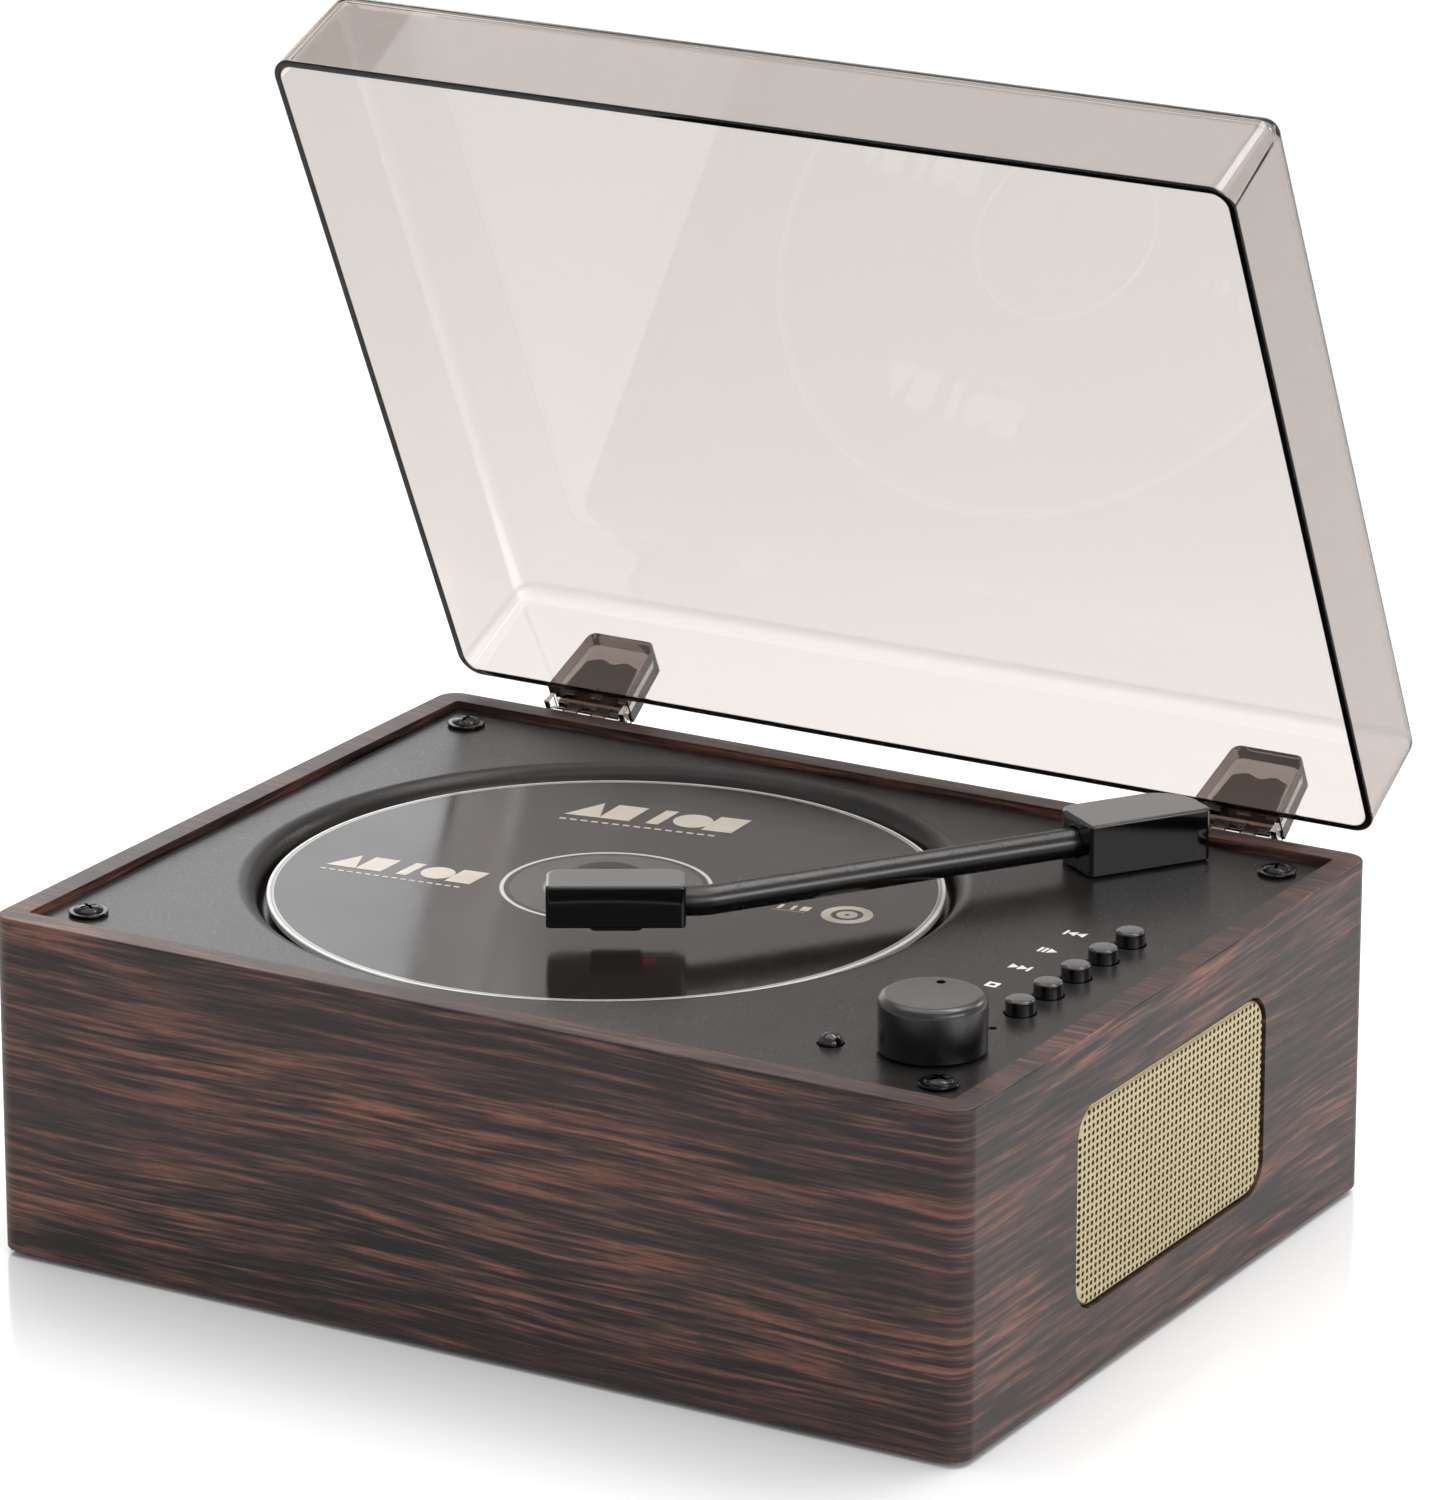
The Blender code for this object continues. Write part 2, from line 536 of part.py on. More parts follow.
def make_tonearm():
    swing = add_empty("arm_axis", (PIVOT_X, PIVOT_Y, 0), (0, 0, radians(ARM_ANGLE)))
    under = DECK_Z + GAP
    plan = rounded((-ARM_FRONT, -ARM_W / 2), (ARM_L - ARM_FRONT, ARM_W / 2), (0.8, 1.2, 8.0, 3.0), 4)
    block = outline("arm_base", plan, ARM_H, "gloss", swing, (0, 0, under))
    bevel(block, 0.4, 2, 60)
    cut(block, rod("pivot_bore", PIVOT_R + GAP, under - CUT, DECK_Z + PIVOT_DEPTH, parent=swing))
    line = DECK_Z + TUBE_RISE
    cut(block, rod("tube_socket", TUBE_R + GAP, -ARM_FRONT - CUT, -ARM_FRONT + SOCKET, steps=20, axis="X",
                   parent=swing, at=(0, TUBE_SHIFT, line)))
    tube_curve("arm_tube", tube_points(), TUBE_R, line, "gloss", swing)

    end_x, end_y = arc((-ARM_FRONT - TUBE_RUN, TUBE_SHIFT + TUBE_BEND_R), TUBE_BEND_R,
                       270, 270 - TUBE_BEND, 1)[-1]
    neck = add_empty("head_frame", (end_x, end_y, 0), (0, 0, radians(-TUBE_BEND)), swing)
    low = DECK_Z + HEAD_RISE
    plan = rounded((-HEAD_L, -HEAD_W / 2), (0, HEAD_W / 2), (1.0, 1.0, 3.2, 3.2), 4)
    head = outline("headshell", plan, HEAD_H, "gloss", neck, (0, 0, low))
    bevel(head, 0.4, 2, 60)
    cut(head, rod("head_socket", TUBE_R + GAP, -SOCKET, CUT, steps=20, axis="X", parent=neck,
                  at=(0, 0, line)))
    mid = -HEAD_L / 2
    box("stylus_foot", (mid - FOOT_L / 2, -FOOT_W / 2, low - GAP - FOOT_H),
        (mid + FOOT_L / 2, FOOT_W / 2, low - GAP), "rubber", radius=1.0, steps=2, parent=neck)

    flange = DECK_UNDER - GAP
    turned("pivot_post", [(0, DECK_Z + PIVOT_DEPTH - GAP), (PIVOT_R, DECK_Z + PIVOT_DEPTH - GAP),
                          (PIVOT_R, flange), (2 * PIVOT_R, flange), (2 * PIVOT_R, flange - 1.5),
                          (0, flange - 1.5)], "steel", at=(PIVOT_X, PIVOT_Y, 0))


# --- lid and hinges ----------------------------------------------------------

def lid_shell(parent):
    """The lid, shut, measured from the hinge axis: a drafted shell with its rim open below."""
    rim = RIM_Z + LID_GAP - HINGE_Z
    back = LID_BACK - HINGE_Y
    bm = box_bm((-LID_W / 2, back - LID_D, rim), (LID_W / 2, back, rim + LID_H))
    middle = (back - LID_D / 2) * MM
    for v in bm.verts:
        if v.co.z > (rim + LID_H / 2) * MM:
            v.co.x -= LID_DRAFT * MM * (1 if v.co.x > 0 else -1)
            v.co.y -= LID_DRAFT * MM * (1 if v.co.y > middle else -1)
    corners = [e for e in bm.edges if abs(e.verts[0].co.z - e.verts[1].co.z) > LID_H * MM / 2]
    bmesh.ops.bevel(bm, geom=corners, offset=LID_R * MM, segments=5, affect="EDGES", profile=0.5)
    top = [e for e in bm.edges if min(v.co.z for v in e.verts) > (rim + LID_H / 2) * MM]
    bmesh.ops.bevel(bm, geom=top, offset=LID_TOP_R * MM, segments=3, affect="EDGES", profile=0.5)
    bottom = [f for f in bm.faces if max(v.co.z for v in f.verts) < (rim + 0.01) * MM]
    bmesh.ops.delete(bm, geom=bottom, context="FACES_ONLY")
    lid = add_object("lid", mesh_from(bm, "lid"), "smoke", parent)
    wall = lid.modifiers.new("wall", "SOLIDIFY")
    wall.thickness = LID_WALL * MM
    wall.offset = -1
    wall.use_even_offset = True
    return lid


def pocket(name, x, parent):
    """The tapered block on the lid's rear face that takes a hinge leaf."""
    rim = RIM_Z + LID_GAP - HINGE_Z
    back = LID_BACK - HINGE_Y
    half, top = POCKET_W / 2, POCKET_W / 2 - POCKET_TAPER
    plan = [(-half, 0), (half, 0), (top, POCKET_H), (-top, POCKET_H)]
    block = outline(name, plan, POCKET_T + LID_WALL / 2, None, parent)
    block.rotation_euler = (pi / 2, 0, 0)
    block.location = Vector((x, back + POCKET_T, rim)) * MM
    slot = box(name + "_slot", (x - HINGE_W / 2 - GAP, back + POCKET_WALL, rim - CUT),
               (x + HINGE_W / 2 + GAP, back + POCKET_T - POCKET_WALL, rim + POCKET_H - 2.5), parent=parent)
    narrow(slot, x, rim)
    return block, slot


def narrow(obj, x, height):
    """Taper the part of a piece that lies above a height, as the pockets taper."""
    for v in obj.data.vertices:
        if v.co.z > height * MM:
            v.co.x -= POCKET_TAPER * MM * (1 if v.co.x > x * MM else -1)


def knuckle_spans(x, odd):
    """The stretches of a hinge's barrel that belong to one of its leaves."""
    step = HINGE_W / KNUCKLES
    spans = []
    for i in range(KNUCKLES):
        if i % 2 == odd:
            low = x - HINGE_W / 2 + i * step
            spans.append((low + GAP / 2, low + step - GAP / 2))
    return spans


def make_hinge(side, word, parent):
    x = side * HINGE_X
    turned("hinge_pin_" + word, [(0, HINGE_W / 2), (PIN_R, HINGE_W / 2), (PIN_R, -HINGE_W / 2),
                                 (0, -HINGE_W / 2)], "chrome", steps=16, axis="X",
           at=(x, HINGE_Y, HINGE_Z))

    flat = HINGE_Y - KNUCKLE_R
    face = CAB_D / 2 + GAP
    leaf = box("cabinet_hinge_leaf_" + word, (x - HINGE_W / 2, face, HINGE_Z - LEAF_DOWN),
               (x + HINGE_W / 2, face + LEAF_T, HINGE_Z - KNUCKLE_R - 0.4), "chrome")
    for i, (low, high) in enumerate(knuckle_spans(x, 0)):
        tag = "%s_%d" % (word, i + 1)
        join(leaf, box("strap_" + tag, (low, face, HINGE_Z - KNUCKLE_R - 1.0),
                       (high, flat + LEAF_T, HINGE_Z + 0.2)),
             rod("knuckle_" + tag, KNUCKLE_R, low, high, steps=20, axis="X", at=(0, HINGE_Y, HINGE_Z)))
    bore = rod("leaf_bore_" + word, KNUCKLE_BORE, x - HINGE_W, x + HINGE_W, steps=20, axis="X",
               at=(0, HINGE_Y, HINGE_Z))
    cut(leaf, bore)

    near = -KNUCKLE_R
    upper = box("lid_hinge_leaf_" + word, (x - HINGE_W / 2 + 0.6, near, KNUCKLE_R + 0.4),
                (x + HINGE_W / 2 - 0.6, near + LEAF_T, LEAF_UP), "steel", parent=parent)
    narrow(upper, x, LEAF_UP / 2)
    for i, (low, high) in enumerate(knuckle_spans(x, 1)):
        tag = "%s_%d" % (word, i + 1)
        join(upper, box("lid_strap_" + tag, (low, near, -0.2), (high, near + LEAF_T, KNUCKLE_R + 1.0),
                        parent=parent),
             rod("lid_knuckle_" + tag, KNUCKLE_R, low, high, steps=20, axis="X", parent=parent))
    cut(upper, rod("lid_leaf_bore_" + word, KNUCKLE_BORE, x - HINGE_W, x + HINGE_W, steps=20,
                   axis="X", parent=parent))


def make_lid():
    axis = add_empty("lid_axis", (0, HINGE_Y, HINGE_Z), (-radians(LID_OPEN), 0, 0))
    lid = lid_shell(axis)
    for side, word in ((-1, "left"), (1, "right")):
        block, slot = pocket("hinge_pocket_" + word, side * HINGE_X, axis)
        join(lid, block)
        cut(lid, slot)
        make_hinge(side, word, axis)
    return lid


# --- speakers ----------------------------------------------------------------

def make_speakers():
    for side, word in ((-1, "left"), (1, "right")):
        outer = CAB_W / 2
        x0, x1 = mirrored(side, outer - RECESS + GAP, outer - RECESS + GAP + GRILLE_T)
        half_l, half_h = GRILLE_L / 2 - GRILLE_GAP, GRILLE_H / 2 - GRILLE_GAP
        box("grille_" + word, (x0, GRILLE_Y - half_l, GRILLE_Z - half_h),
            (x1, GRILLE_Y + half_l, GRILLE_Z + half_h), "gold", radius=GRILLE_R - GRILLE_GAP, axis=0)
        face = INNER_W / 2 - GAP
        rim, magnet, deep = SPEAKER_R, MAGNET_R, SPEAKER_DEPTH
        frame = [(rim, 0), (rim + 2.6, 0), (rim + 2.6, -1.6), (rim - 1.3, -1.8), (magnet + 1.4, -10),
                 (magnet, -10.5), (magnet, -deep), (0, -deep), (0, -9), (magnet - 1.4, -9),
                 (rim - 2.6, -1.9), (rim - 0.3, -0.9)]
        cone = [(0, -4.6), (3, -5.0), (4.4, -6.0), (rim - 3.5, -1.1), (rim - 2.3, -0.3), (rim - 1.1, -0.3),
                (rim - 0.7, -0.6), (rim - 2.7, -1.0), (4.6, -7.0), (0, -7.0)]
        for name, profile, kind in (("speaker_frame_", frame, "steel"), ("speaker_cone_", cone, "cone")):
            piece = turned(name + word, order_profile(profile), kind, steps=20, axis="X",
                           at=(side * face, GRILLE_Y, GRILLE_Z))
            piece.rotation_euler = (0, side * pi / 2, 0)


def order_profile(profile):
    """Start an axis-to-axis profile at its top point on the axis."""
    on_axis = [i for i, (r, _) in enumerate(profile) if r == 0]
    if len(on_axis) == 2 and on_axis[1] == on_axis[0] + 1:
        profile = profile[on_axis[1]:] + profile[:on_axis[0] + 1]
    return profile


# --- disc mechanism ----------------------------------------------------------

def damper_places():
    rear, front = DISC_Y + CHASSIS_BACK - 6.0, DISC_Y - 46.0
    return ((DISC_X - DAMPER_X, rear), (DISC_X + DAMPER_X, rear), (DISC_X - DAMPER_X, front))


def make_spindle():
    spin = add_empty("spindle_axis", (DISC_X, DISC_Y, 0))
    bottom = DISC_TOP - DISC_T
    turned("disc", ring_profile(DISC_BORE_R, DISC_R, bottom, DISC_TOP), "label", steps=72, parent=spin)
    top = DISC_TOP + HUB_RISE
    seat = bottom - GAP
    motor_top, bearing_top = CHASSIS_Z - GAP, CHASSIS_Z + CHASSIS_T + 1.0
    turned("spindle_hub", [(0, top - 1.0), (2.1, top - 1.0), (2.1, top), (4.6, top), (6.4, top - 0.7),
                           (HUB_BOSS_R, top - 1.8), (HUB_BOSS_R, seat), (HUB_R, seat), (HUB_R, HUB_UNDER),
                           (SHAFT_R, HUB_UNDER), (SHAFT_R, motor_top - 4), (0, motor_top - 4)],
           "plastic", steps=28, parent=spin)
    turned("spindle_motor", [(0, motor_top - 5), (SHAFT_R + GAP, motor_top - 5),
                             (SHAFT_R + GAP, bearing_top), (BEARING_R, bearing_top),
                             (BEARING_R, motor_top), (MOTOR_R, motor_top), (MOTOR_R, motor_top - MOTOR_H),
                             (0, motor_top - MOTOR_H)],
           "steel", steps=20, at=(DISC_X, DISC_Y, 0))


def sled_span():
    """Where the sled's ends are at both ends of its travel."""
    inner = DISC_Y - SLED_IN + SLED_L / 2
    outer = DISC_Y - SLED_IN - SLED_TRAVEL - SLED_L / 2
    return outer, inner


def rod_ends():
    outer, inner = sled_span()
    return outer - RUN_CLEAR - END_PLATE, inner + RUN_CLEAR + END_PLATE


def turret_top():
    """Top of the sled's raised middle, just under the deck's pan."""
    return PAN_UNDER - RUN_CLEAR


def make_chassis():
    x = DISC_X
    outer, inner = sled_span()
    front_end, back_end = rod_ends()
    chassis = box("mechanism_chassis", (x - CHASSIS_HALF, front_end, CHASSIS_Z),
                  (x + CHASSIS_HALF, DISC_Y + CHASSIS_BACK, CHASSIS_Z + CHASSIS_T), "plastic",
                  radius=3, steps=2)
    plates = ((front_end, front_end + END_PLATE), (back_end - END_PLATE, back_end))
    for i, (low, high) in enumerate(plates):
        join(chassis, box("end_plate_%d" % (i + 1), (x - ROD_X - PLATE_EDGE, low, LEAD_Z - PLATE_EDGE),
                          (x + LEAD_X + PLATE_EDGE, high, CHASSIS_Z + CHASSIS_T / 2)))
    cut(chassis, box("pickup_window", (x - SLOT_HALF - 1, outer - GAP, CHASSIS_Z - CUT),
                     (x + SLOT_HALF + 1, inner + GAP, CHASSIS_Z + CHASSIS_T + CUT)))
    cut(chassis, rod("motor_hole", BEARING_R + GAP, CHASSIS_Z - CUT, CHASSIS_Z + CHASSIS_T + CUT, steps=20,
                     at=(DISC_X, DISC_Y, 0)))
    for i, (dx, dy) in enumerate(damper_places()):
        cut(chassis, rod("damper_hole_%d" % (i + 1), DAMPER_NECK + GAP, CHASSIS_Z - CUT,
                         CHASSIS_Z + CHASSIS_T + CUT, steps=16, at=(dx, dy, 0)))
    for name, dx, z, r in (("rod_hole_1", -ROD_X, ROD_Z, ROD_R), ("rod_hole_2", ROD_X, ROD_Z, ROD_R),
                           ("lead_hole", LEAD_X, LEAD_Z, LEAD_R)):
        cut(chassis, rod(name, r + GAP, front_end - CUT, back_end + CUT, steps=16, axis="Y",
                         at=(x + dx, 0, z)))


def make_mechanism():
    make_chassis()
    front_end, back_end = rod_ends()
    for name, dx in (("guide_rod_left", -ROD_X), ("guide_rod_right", ROD_X)):
        rod(name, ROD_R, front_end + GAP, back_end - GAP, "steel", steps=16, axis="Y",
            at=(DISC_X + dx, 0, ROD_Z))
    rod("lead_screw", LEAD_R, front_end + GAP, back_end + 4, "steel", steps=16, axis="Y",
        at=(DISC_X + LEAD_X, 0, LEAD_Z))
    near, far = back_end + GAP, back_end + SLED_MOTOR_L
    turned("sled_motor", [(0, far), (SLED_MOTOR_R, far), (SLED_MOTOR_R, near), (LEAD_R + GAP, near),
                          (LEAD_R + GAP, back_end + 5), (0, back_end + 5)],
           "steel", steps=20, axis="Y", at=(DISC_X + LEAD_X, 0, LEAD_Z))

    travel = add_empty("sled_slide", (DISC_X, DISC_Y - SLED_IN, 0))
    half_l, half_w = SLED_L / 2, SLED_W / 2
    turret = SLOT_HALF - 1.5
    sled = box("pickup_sled", (-half_w, -half_l, ROD_Z - 3.5), (half_w, half_l, CHASSIS_Z - RUN_CLEAR),
               "plastic", radius=1.5, steps=2, parent=travel)
    join(sled, box("turret", (-turret, -4.5, CHASSIS_Z - 2), (turret, 6.5, turret_top()), parent=travel),
         box("nut_arm", (half_w - 1, -3, LEAD_Z - 2.6), (LEAD_X + 3, 3, LEAD_Z + 2.6), parent=travel))
    for name, dx, z, r in (("sled_bore_1", -ROD_X, ROD_Z, ROD_R), ("sled_bore_2", ROD_X, ROD_Z, ROD_R),
                           ("nut_bore", LEAD_X, LEAD_Z, LEAD_R)):
        cut(sled, rod(name, r + GAP, -half_l - CUT, half_l + CUT, steps=16, axis="Y", parent=travel,
                      at=(dx, 0, z)))
    focus = add_empty("lens_slide", (0, 0, 0), parent=travel)
    lens_top = DISC_TOP - DISC_T - 1.5
    lens_under = turret_top() + LENS_TRAVEL + GAP
    turned("pickup_lens", [(0, lens_top), (LENS_R - 1.2, lens_top - 0.3), (LENS_R, lens_top - 0.8),
                           (LENS_R, lens_under), (0, lens_under)],
           "lens", steps=20, parent=focus)

    top, seat = PAN_UNDER - GAP, CHASSIS_Z + CHASSIS_T + GAP
    collar, foot = CHASSIS_Z - GAP, CHASSIS_Z - 1.4
    collar_r = DAMPER_NECK + GAP + 1.0
    for i, (x, y) in enumerate(damper_places()):
        turned("damper_%d" % (i + 1),
               [(STAKE_R + GAP, top), (DAMPER_R, top), (DAMPER_R, seat), (DAMPER_NECK, seat),
                (DAMPER_NECK, collar), (collar_r, collar), (collar_r, foot), (STAKE_R + GAP, foot)],
               "rubber", steps=12, at=(x, y, 0))


# --- electronics and back panel ----------------------------------------------

def make_electronics():
    board = box("main_board", (MAIN_LEFT, MAIN_FRONT, MAIN_Z), (MAIN_RIGHT, MAIN_BACK, MAIN_Z + MAIN_T),
                "circuit")
    top = MAIN_Z + MAIN_T
    parts = (("processor", (-20, -10, top - 0.5), (-4, 6, top + 1.4)),
             ("amplifier", (14, -24, top - 0.5), (28, -12, top + 2.2)),
             ("socket_left", (-50, 10, top - 0.5), (-42, 16, top + 4.5)),
             ("socket_right", (34, 10, top - 0.5), (42, 16, top + 4.5)))
    for name, low, high in parts:
        join(board, box(name, low, high))
    for i, (x, y) in enumerate(((-36, 30), (-26, 30), (24, 34))):
        join(board, rod("capacitor_%d" % (i + 1), 3.6, top - 0.5, top + 9, steps=12, at=(x, y, 0)))

    face, outer = CAB_D / 2 + GAP, CAB_D / 2 + GAP + PANEL_T
    panel = box("rear_panel", (-PANEL_W / 2, face, PANEL_Z - PANEL_H / 2),
                (PANEL_W / 2, outer, PANEL_Z + PANEL_H / 2), "plastic", radius=2, axis=1, steps=3)
    inlet_w, inlet_h, inlet_z = INLET_W, INLET_H, MAIN_Z + MAIN_T + GAP + 2.8
    low_y = INNER_D / 2 - 9
    inlet = box("power_inlet", (INLET_X - inlet_w / 2, low_y, inlet_z - inlet_h / 2),
                (INLET_X + inlet_w / 2, outer, inlet_z + inlet_h / 2), "steel", radius=1.4, axis=1, steps=3)
    cut(inlet, box("inlet_mouth", (INLET_X - inlet_w / 2 + 0.4, outer - 6, inlet_z - inlet_h / 2 + 0.4),
                   (INLET_X + inlet_w / 2 - 0.4, outer + CUT, inlet_z + inlet_h / 2 - 0.4), radius=1.1,
                   axis=1, steps=3))
    join(inlet, box("inlet_tongue", (INLET_X - 3.2, outer - 6.5, inlet_z - 0.35),
                    (INLET_X + 3.2, outer - 1, inlet_z + 0.35)))
    cut(panel, box("inlet_hole", (INLET_X - inlet_w / 2 - GAP, face - CUT, inlet_z - inlet_h / 2 - GAP),
                   (INLET_X + inlet_w / 2 + GAP, outer + CUT, inlet_z + inlet_h / 2 + GAP), radius=1.6,
                   axis=1, steps=3))

    nose_z = inlet_z + 1.0
    nose = (JACK_X, 0, nose_z)
    jack = box("audio_jack", (JACK_X - 4, low_y - 3, nose_z - 3.5),
               (JACK_X + 4, INNER_D / 2 - 1, nose_z + 3.3), "plastic")
    join(jack, rod("jack_nose", JACK_R, INNER_D / 2 - 2, outer + 0.4, steps=20, axis="Y", at=nose))
    cut(jack, rod("jack_bore", JACK_BORE_R, outer - 12, outer + CUT, steps=16, axis="Y", at=nose))
    cut(panel, rod("jack_hole", JACK_R + GAP, face - CUT, outer + CUT, steps=20, axis="Y", at=nose))

    slide = add_empty("switch_slide", (SWITCH_X, 0, 0))
    half_w, half_h = SLIDER_W / 2, SLIDER_H / 2
    box("power_slider", (-half_w, INNER_D / 2 - 3, nose_z - half_h), (half_w, outer + 1.2, nose_z + half_h),
        "gloss", radius=0.5, axis=1, steps=2, parent=slide)
    cut(panel, box("switch_hole", (SWITCH_X - half_w - GAP, face - CUT, nose_z - half_h - GAP),
                   (SWITCH_X + half_w + SWITCH_TRAVEL + GAP, outer + CUT, nose_z + half_h + GAP)))


make_cabinet()
make_deck()
make_controls()
make_tonearm()
make_lid()
make_speakers()
make_spindle()
make_mechanism()
make_electronics()
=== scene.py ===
# %% [markdown]
# # A tabletop disc player, styled as a small record player
# The player is a low wood-wrapped case with a black deck, a disc in a round well, a pretend tonearm,
# a volume knob, five keys, a metal speaker grille on each side and a smoke-tinted lid.
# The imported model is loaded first, because it fixes where everything is. Each step then makes one
# detailed piece or finish around it. All sizes below are millimetres, and MM turns them into metres.

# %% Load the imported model
from math import cos, pi, radians, sin

import bmesh
import bpy
from mathutils import Matrix, Vector


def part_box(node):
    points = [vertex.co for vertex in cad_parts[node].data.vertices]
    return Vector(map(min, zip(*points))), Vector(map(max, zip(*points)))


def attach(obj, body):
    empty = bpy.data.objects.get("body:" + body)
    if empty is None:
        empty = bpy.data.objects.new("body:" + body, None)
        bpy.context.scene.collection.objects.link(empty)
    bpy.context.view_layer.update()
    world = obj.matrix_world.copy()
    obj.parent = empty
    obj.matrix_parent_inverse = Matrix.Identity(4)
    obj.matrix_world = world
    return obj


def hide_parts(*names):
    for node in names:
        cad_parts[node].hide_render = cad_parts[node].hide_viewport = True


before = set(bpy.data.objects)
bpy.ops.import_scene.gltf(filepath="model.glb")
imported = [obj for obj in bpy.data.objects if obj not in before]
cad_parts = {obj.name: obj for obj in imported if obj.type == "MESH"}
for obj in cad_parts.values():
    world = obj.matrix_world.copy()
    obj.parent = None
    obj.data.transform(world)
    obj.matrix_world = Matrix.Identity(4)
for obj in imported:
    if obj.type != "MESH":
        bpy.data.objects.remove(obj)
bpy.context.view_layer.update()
MM = 0.001


# %% [markdown]
# ## Reading places from the model
# A learner could type every position by hand, but then a change in the model would leave pieces
# behind. Asking the model for a node's box keeps the looks and the frame together.

# %% Places and colours
def span(node):
    """A node's lowest and highest corners, in millimetres."""
    low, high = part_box(node)
    return low / MM, high / MM


def middle(node):
    low, high = span(node)
    return (low + high) / 2


def srgb(text):
    """A hex colour as linear red, green, blue and alpha."""
    parts = [int(text[i:i + 2], 16) / 255 for i in (1, 3, 5)]
    return tuple(p / 12.92 if p <= 0.04045 else ((p + 0.055) / 1.055) ** 2.4 for p in parts) + (1.0,)


CASE_LOW, CASE_HIGH = span("cabinet_shell")
DECK_LOW, DECK_HIGH = span("deck")
RIM_Z, DECK_Z = CASE_HIGH.z, DECK_HIGH.z
print("case", tuple(round(v, 1) for v in CASE_HIGH - CASE_LOW), "deck at", round(DECK_Z, 2))


# %% [markdown]
# ## The camera
# The player is seen from the front right, a little above the deck, from far away with a long lens,
# so its edges stay almost parallel. The camera comes first so that every later step can be judged
# from it. It could be turned with a Track To constraint; a matrix from its own direction is plainer.

# %% Make the camera
AZIMUTH, ELEVATION = 30.3, 18.05        # degrees
DISTANCE, LENS, SENSOR = 1395.5, 190.9, 36.0
TARGET = Vector((0.9, 9.0, 85.6))

away = Vector((sin(radians(AZIMUTH)) * cos(radians(ELEVATION)),
               -cos(radians(AZIMUTH)) * cos(radians(ELEVATION)), sin(radians(ELEVATION))))
lens_data = bpy.data.cameras.new("camera")
lens_data.lens = LENS
lens_data.sensor_width = SENSOR
lens_data.clip_start, lens_data.clip_end = 0.1, 50.0
camera = bpy.data.objects.new("camera", lens_data)
camera.location = (TARGET + away * DISTANCE) * MM
camera.rotation_euler = (-away).to_track_quat("-Z", "Y").to_euler()
bpy.context.scene.collection.objects.link(camera)
bpy.context.scene.camera = camera
print("camera at", tuple(round(v, 3) for v in camera.location))


# %% [markdown]
# ## Helpers for nodes
# Materials and geometry trees are both built from nodes. One small function that adds a node, sets
# it up and links it is enough for all of them, and it keeps each finish readable as a short list.

# %% Add a node
def add(tree, kind, inputs=None, **settings):
    """Add a node: settings are its properties, inputs are values or the sockets to link from."""
    node = tree.nodes.new(kind)
    for key, value in settings.items():
        setattr(node, key, value)
    for key, value in (inputs or {}).items():
        if isinstance(value, bpy.types.NodeSocket):
            tree.links.new(value, node.inputs[key])
        else:
            node.inputs[key].default_value = value
    return node


def stops(ramp, *pairs):
    """Set a colour ramp's stops from (position, hex) pairs, and return its colour."""
    elements = ramp.color_ramp.elements
    while len(elements) < len(pairs):
        elements.new(0.5)
    for element, (position, colour) in zip(elements, pairs):
        element.position = position
        element.color = srgb(colour)
    return ramp.outputs["Color"]


def new_finish(name, colour, **plain):
    """A material with its Principled shader; plain holds the shader's own settings."""
    finish = bpy.data.materials.new(name)
    finish.use_nodes = True
    tree = finish.node_tree
    shader = tree.nodes["Principled BSDF"]
    shader.inputs["Base Color"].default_value = srgb(colour)
    for key, value in plain.items():
        shader.inputs[key.replace("_", " ")].default_value = value
    return finish, tree, shader


def grain(tree, size, detail=2.0, rough=0.5, centre=(0, 0, 0), source=None):
    """Noise on Object coordinates with features as long as size, in millimetres along each axis."""
    if source is None:
        source = add(tree, "ShaderNodeTexCoord").outputs["Object"]
    scale = [1 / (s * MM) for s in size]
    shift = [-c * MM * s for c, s in zip(centre, scale)]
    place = add(tree, "ShaderNodeMapping", {"Vector": source, "Scale": scale, "Location": shift})
    noise = add(tree, "ShaderNodeTexNoise", {"Vector": place.outputs["Vector"], "Scale": 1.0,
                                             "Detail": detail, "Roughness": rough})
    return noise.outputs["Fac"]


def spread(tree, fac, low, high):
    """Carry a 0.3 to 0.7 noise value over to the range from low to high."""
    node = add(tree, "ShaderNodeMapRange", {"Value": fac, "From Min": 0.3, "From Max": 0.7,
                                            "To Min": low, "To Max": high})
    return node.outputs["Result"]


def bump(tree, shader, height, depth, strength=1.0):
    """Raise the surface by a height of so many millimetres."""
    node = add(tree, "ShaderNodeBump", {"Height": height, "Distance": depth * MM,
                                        "Strength": strength})
    tree.links.new(node.outputs["Normal"], shader.inputs["Normal"])


print("node helpers ready")
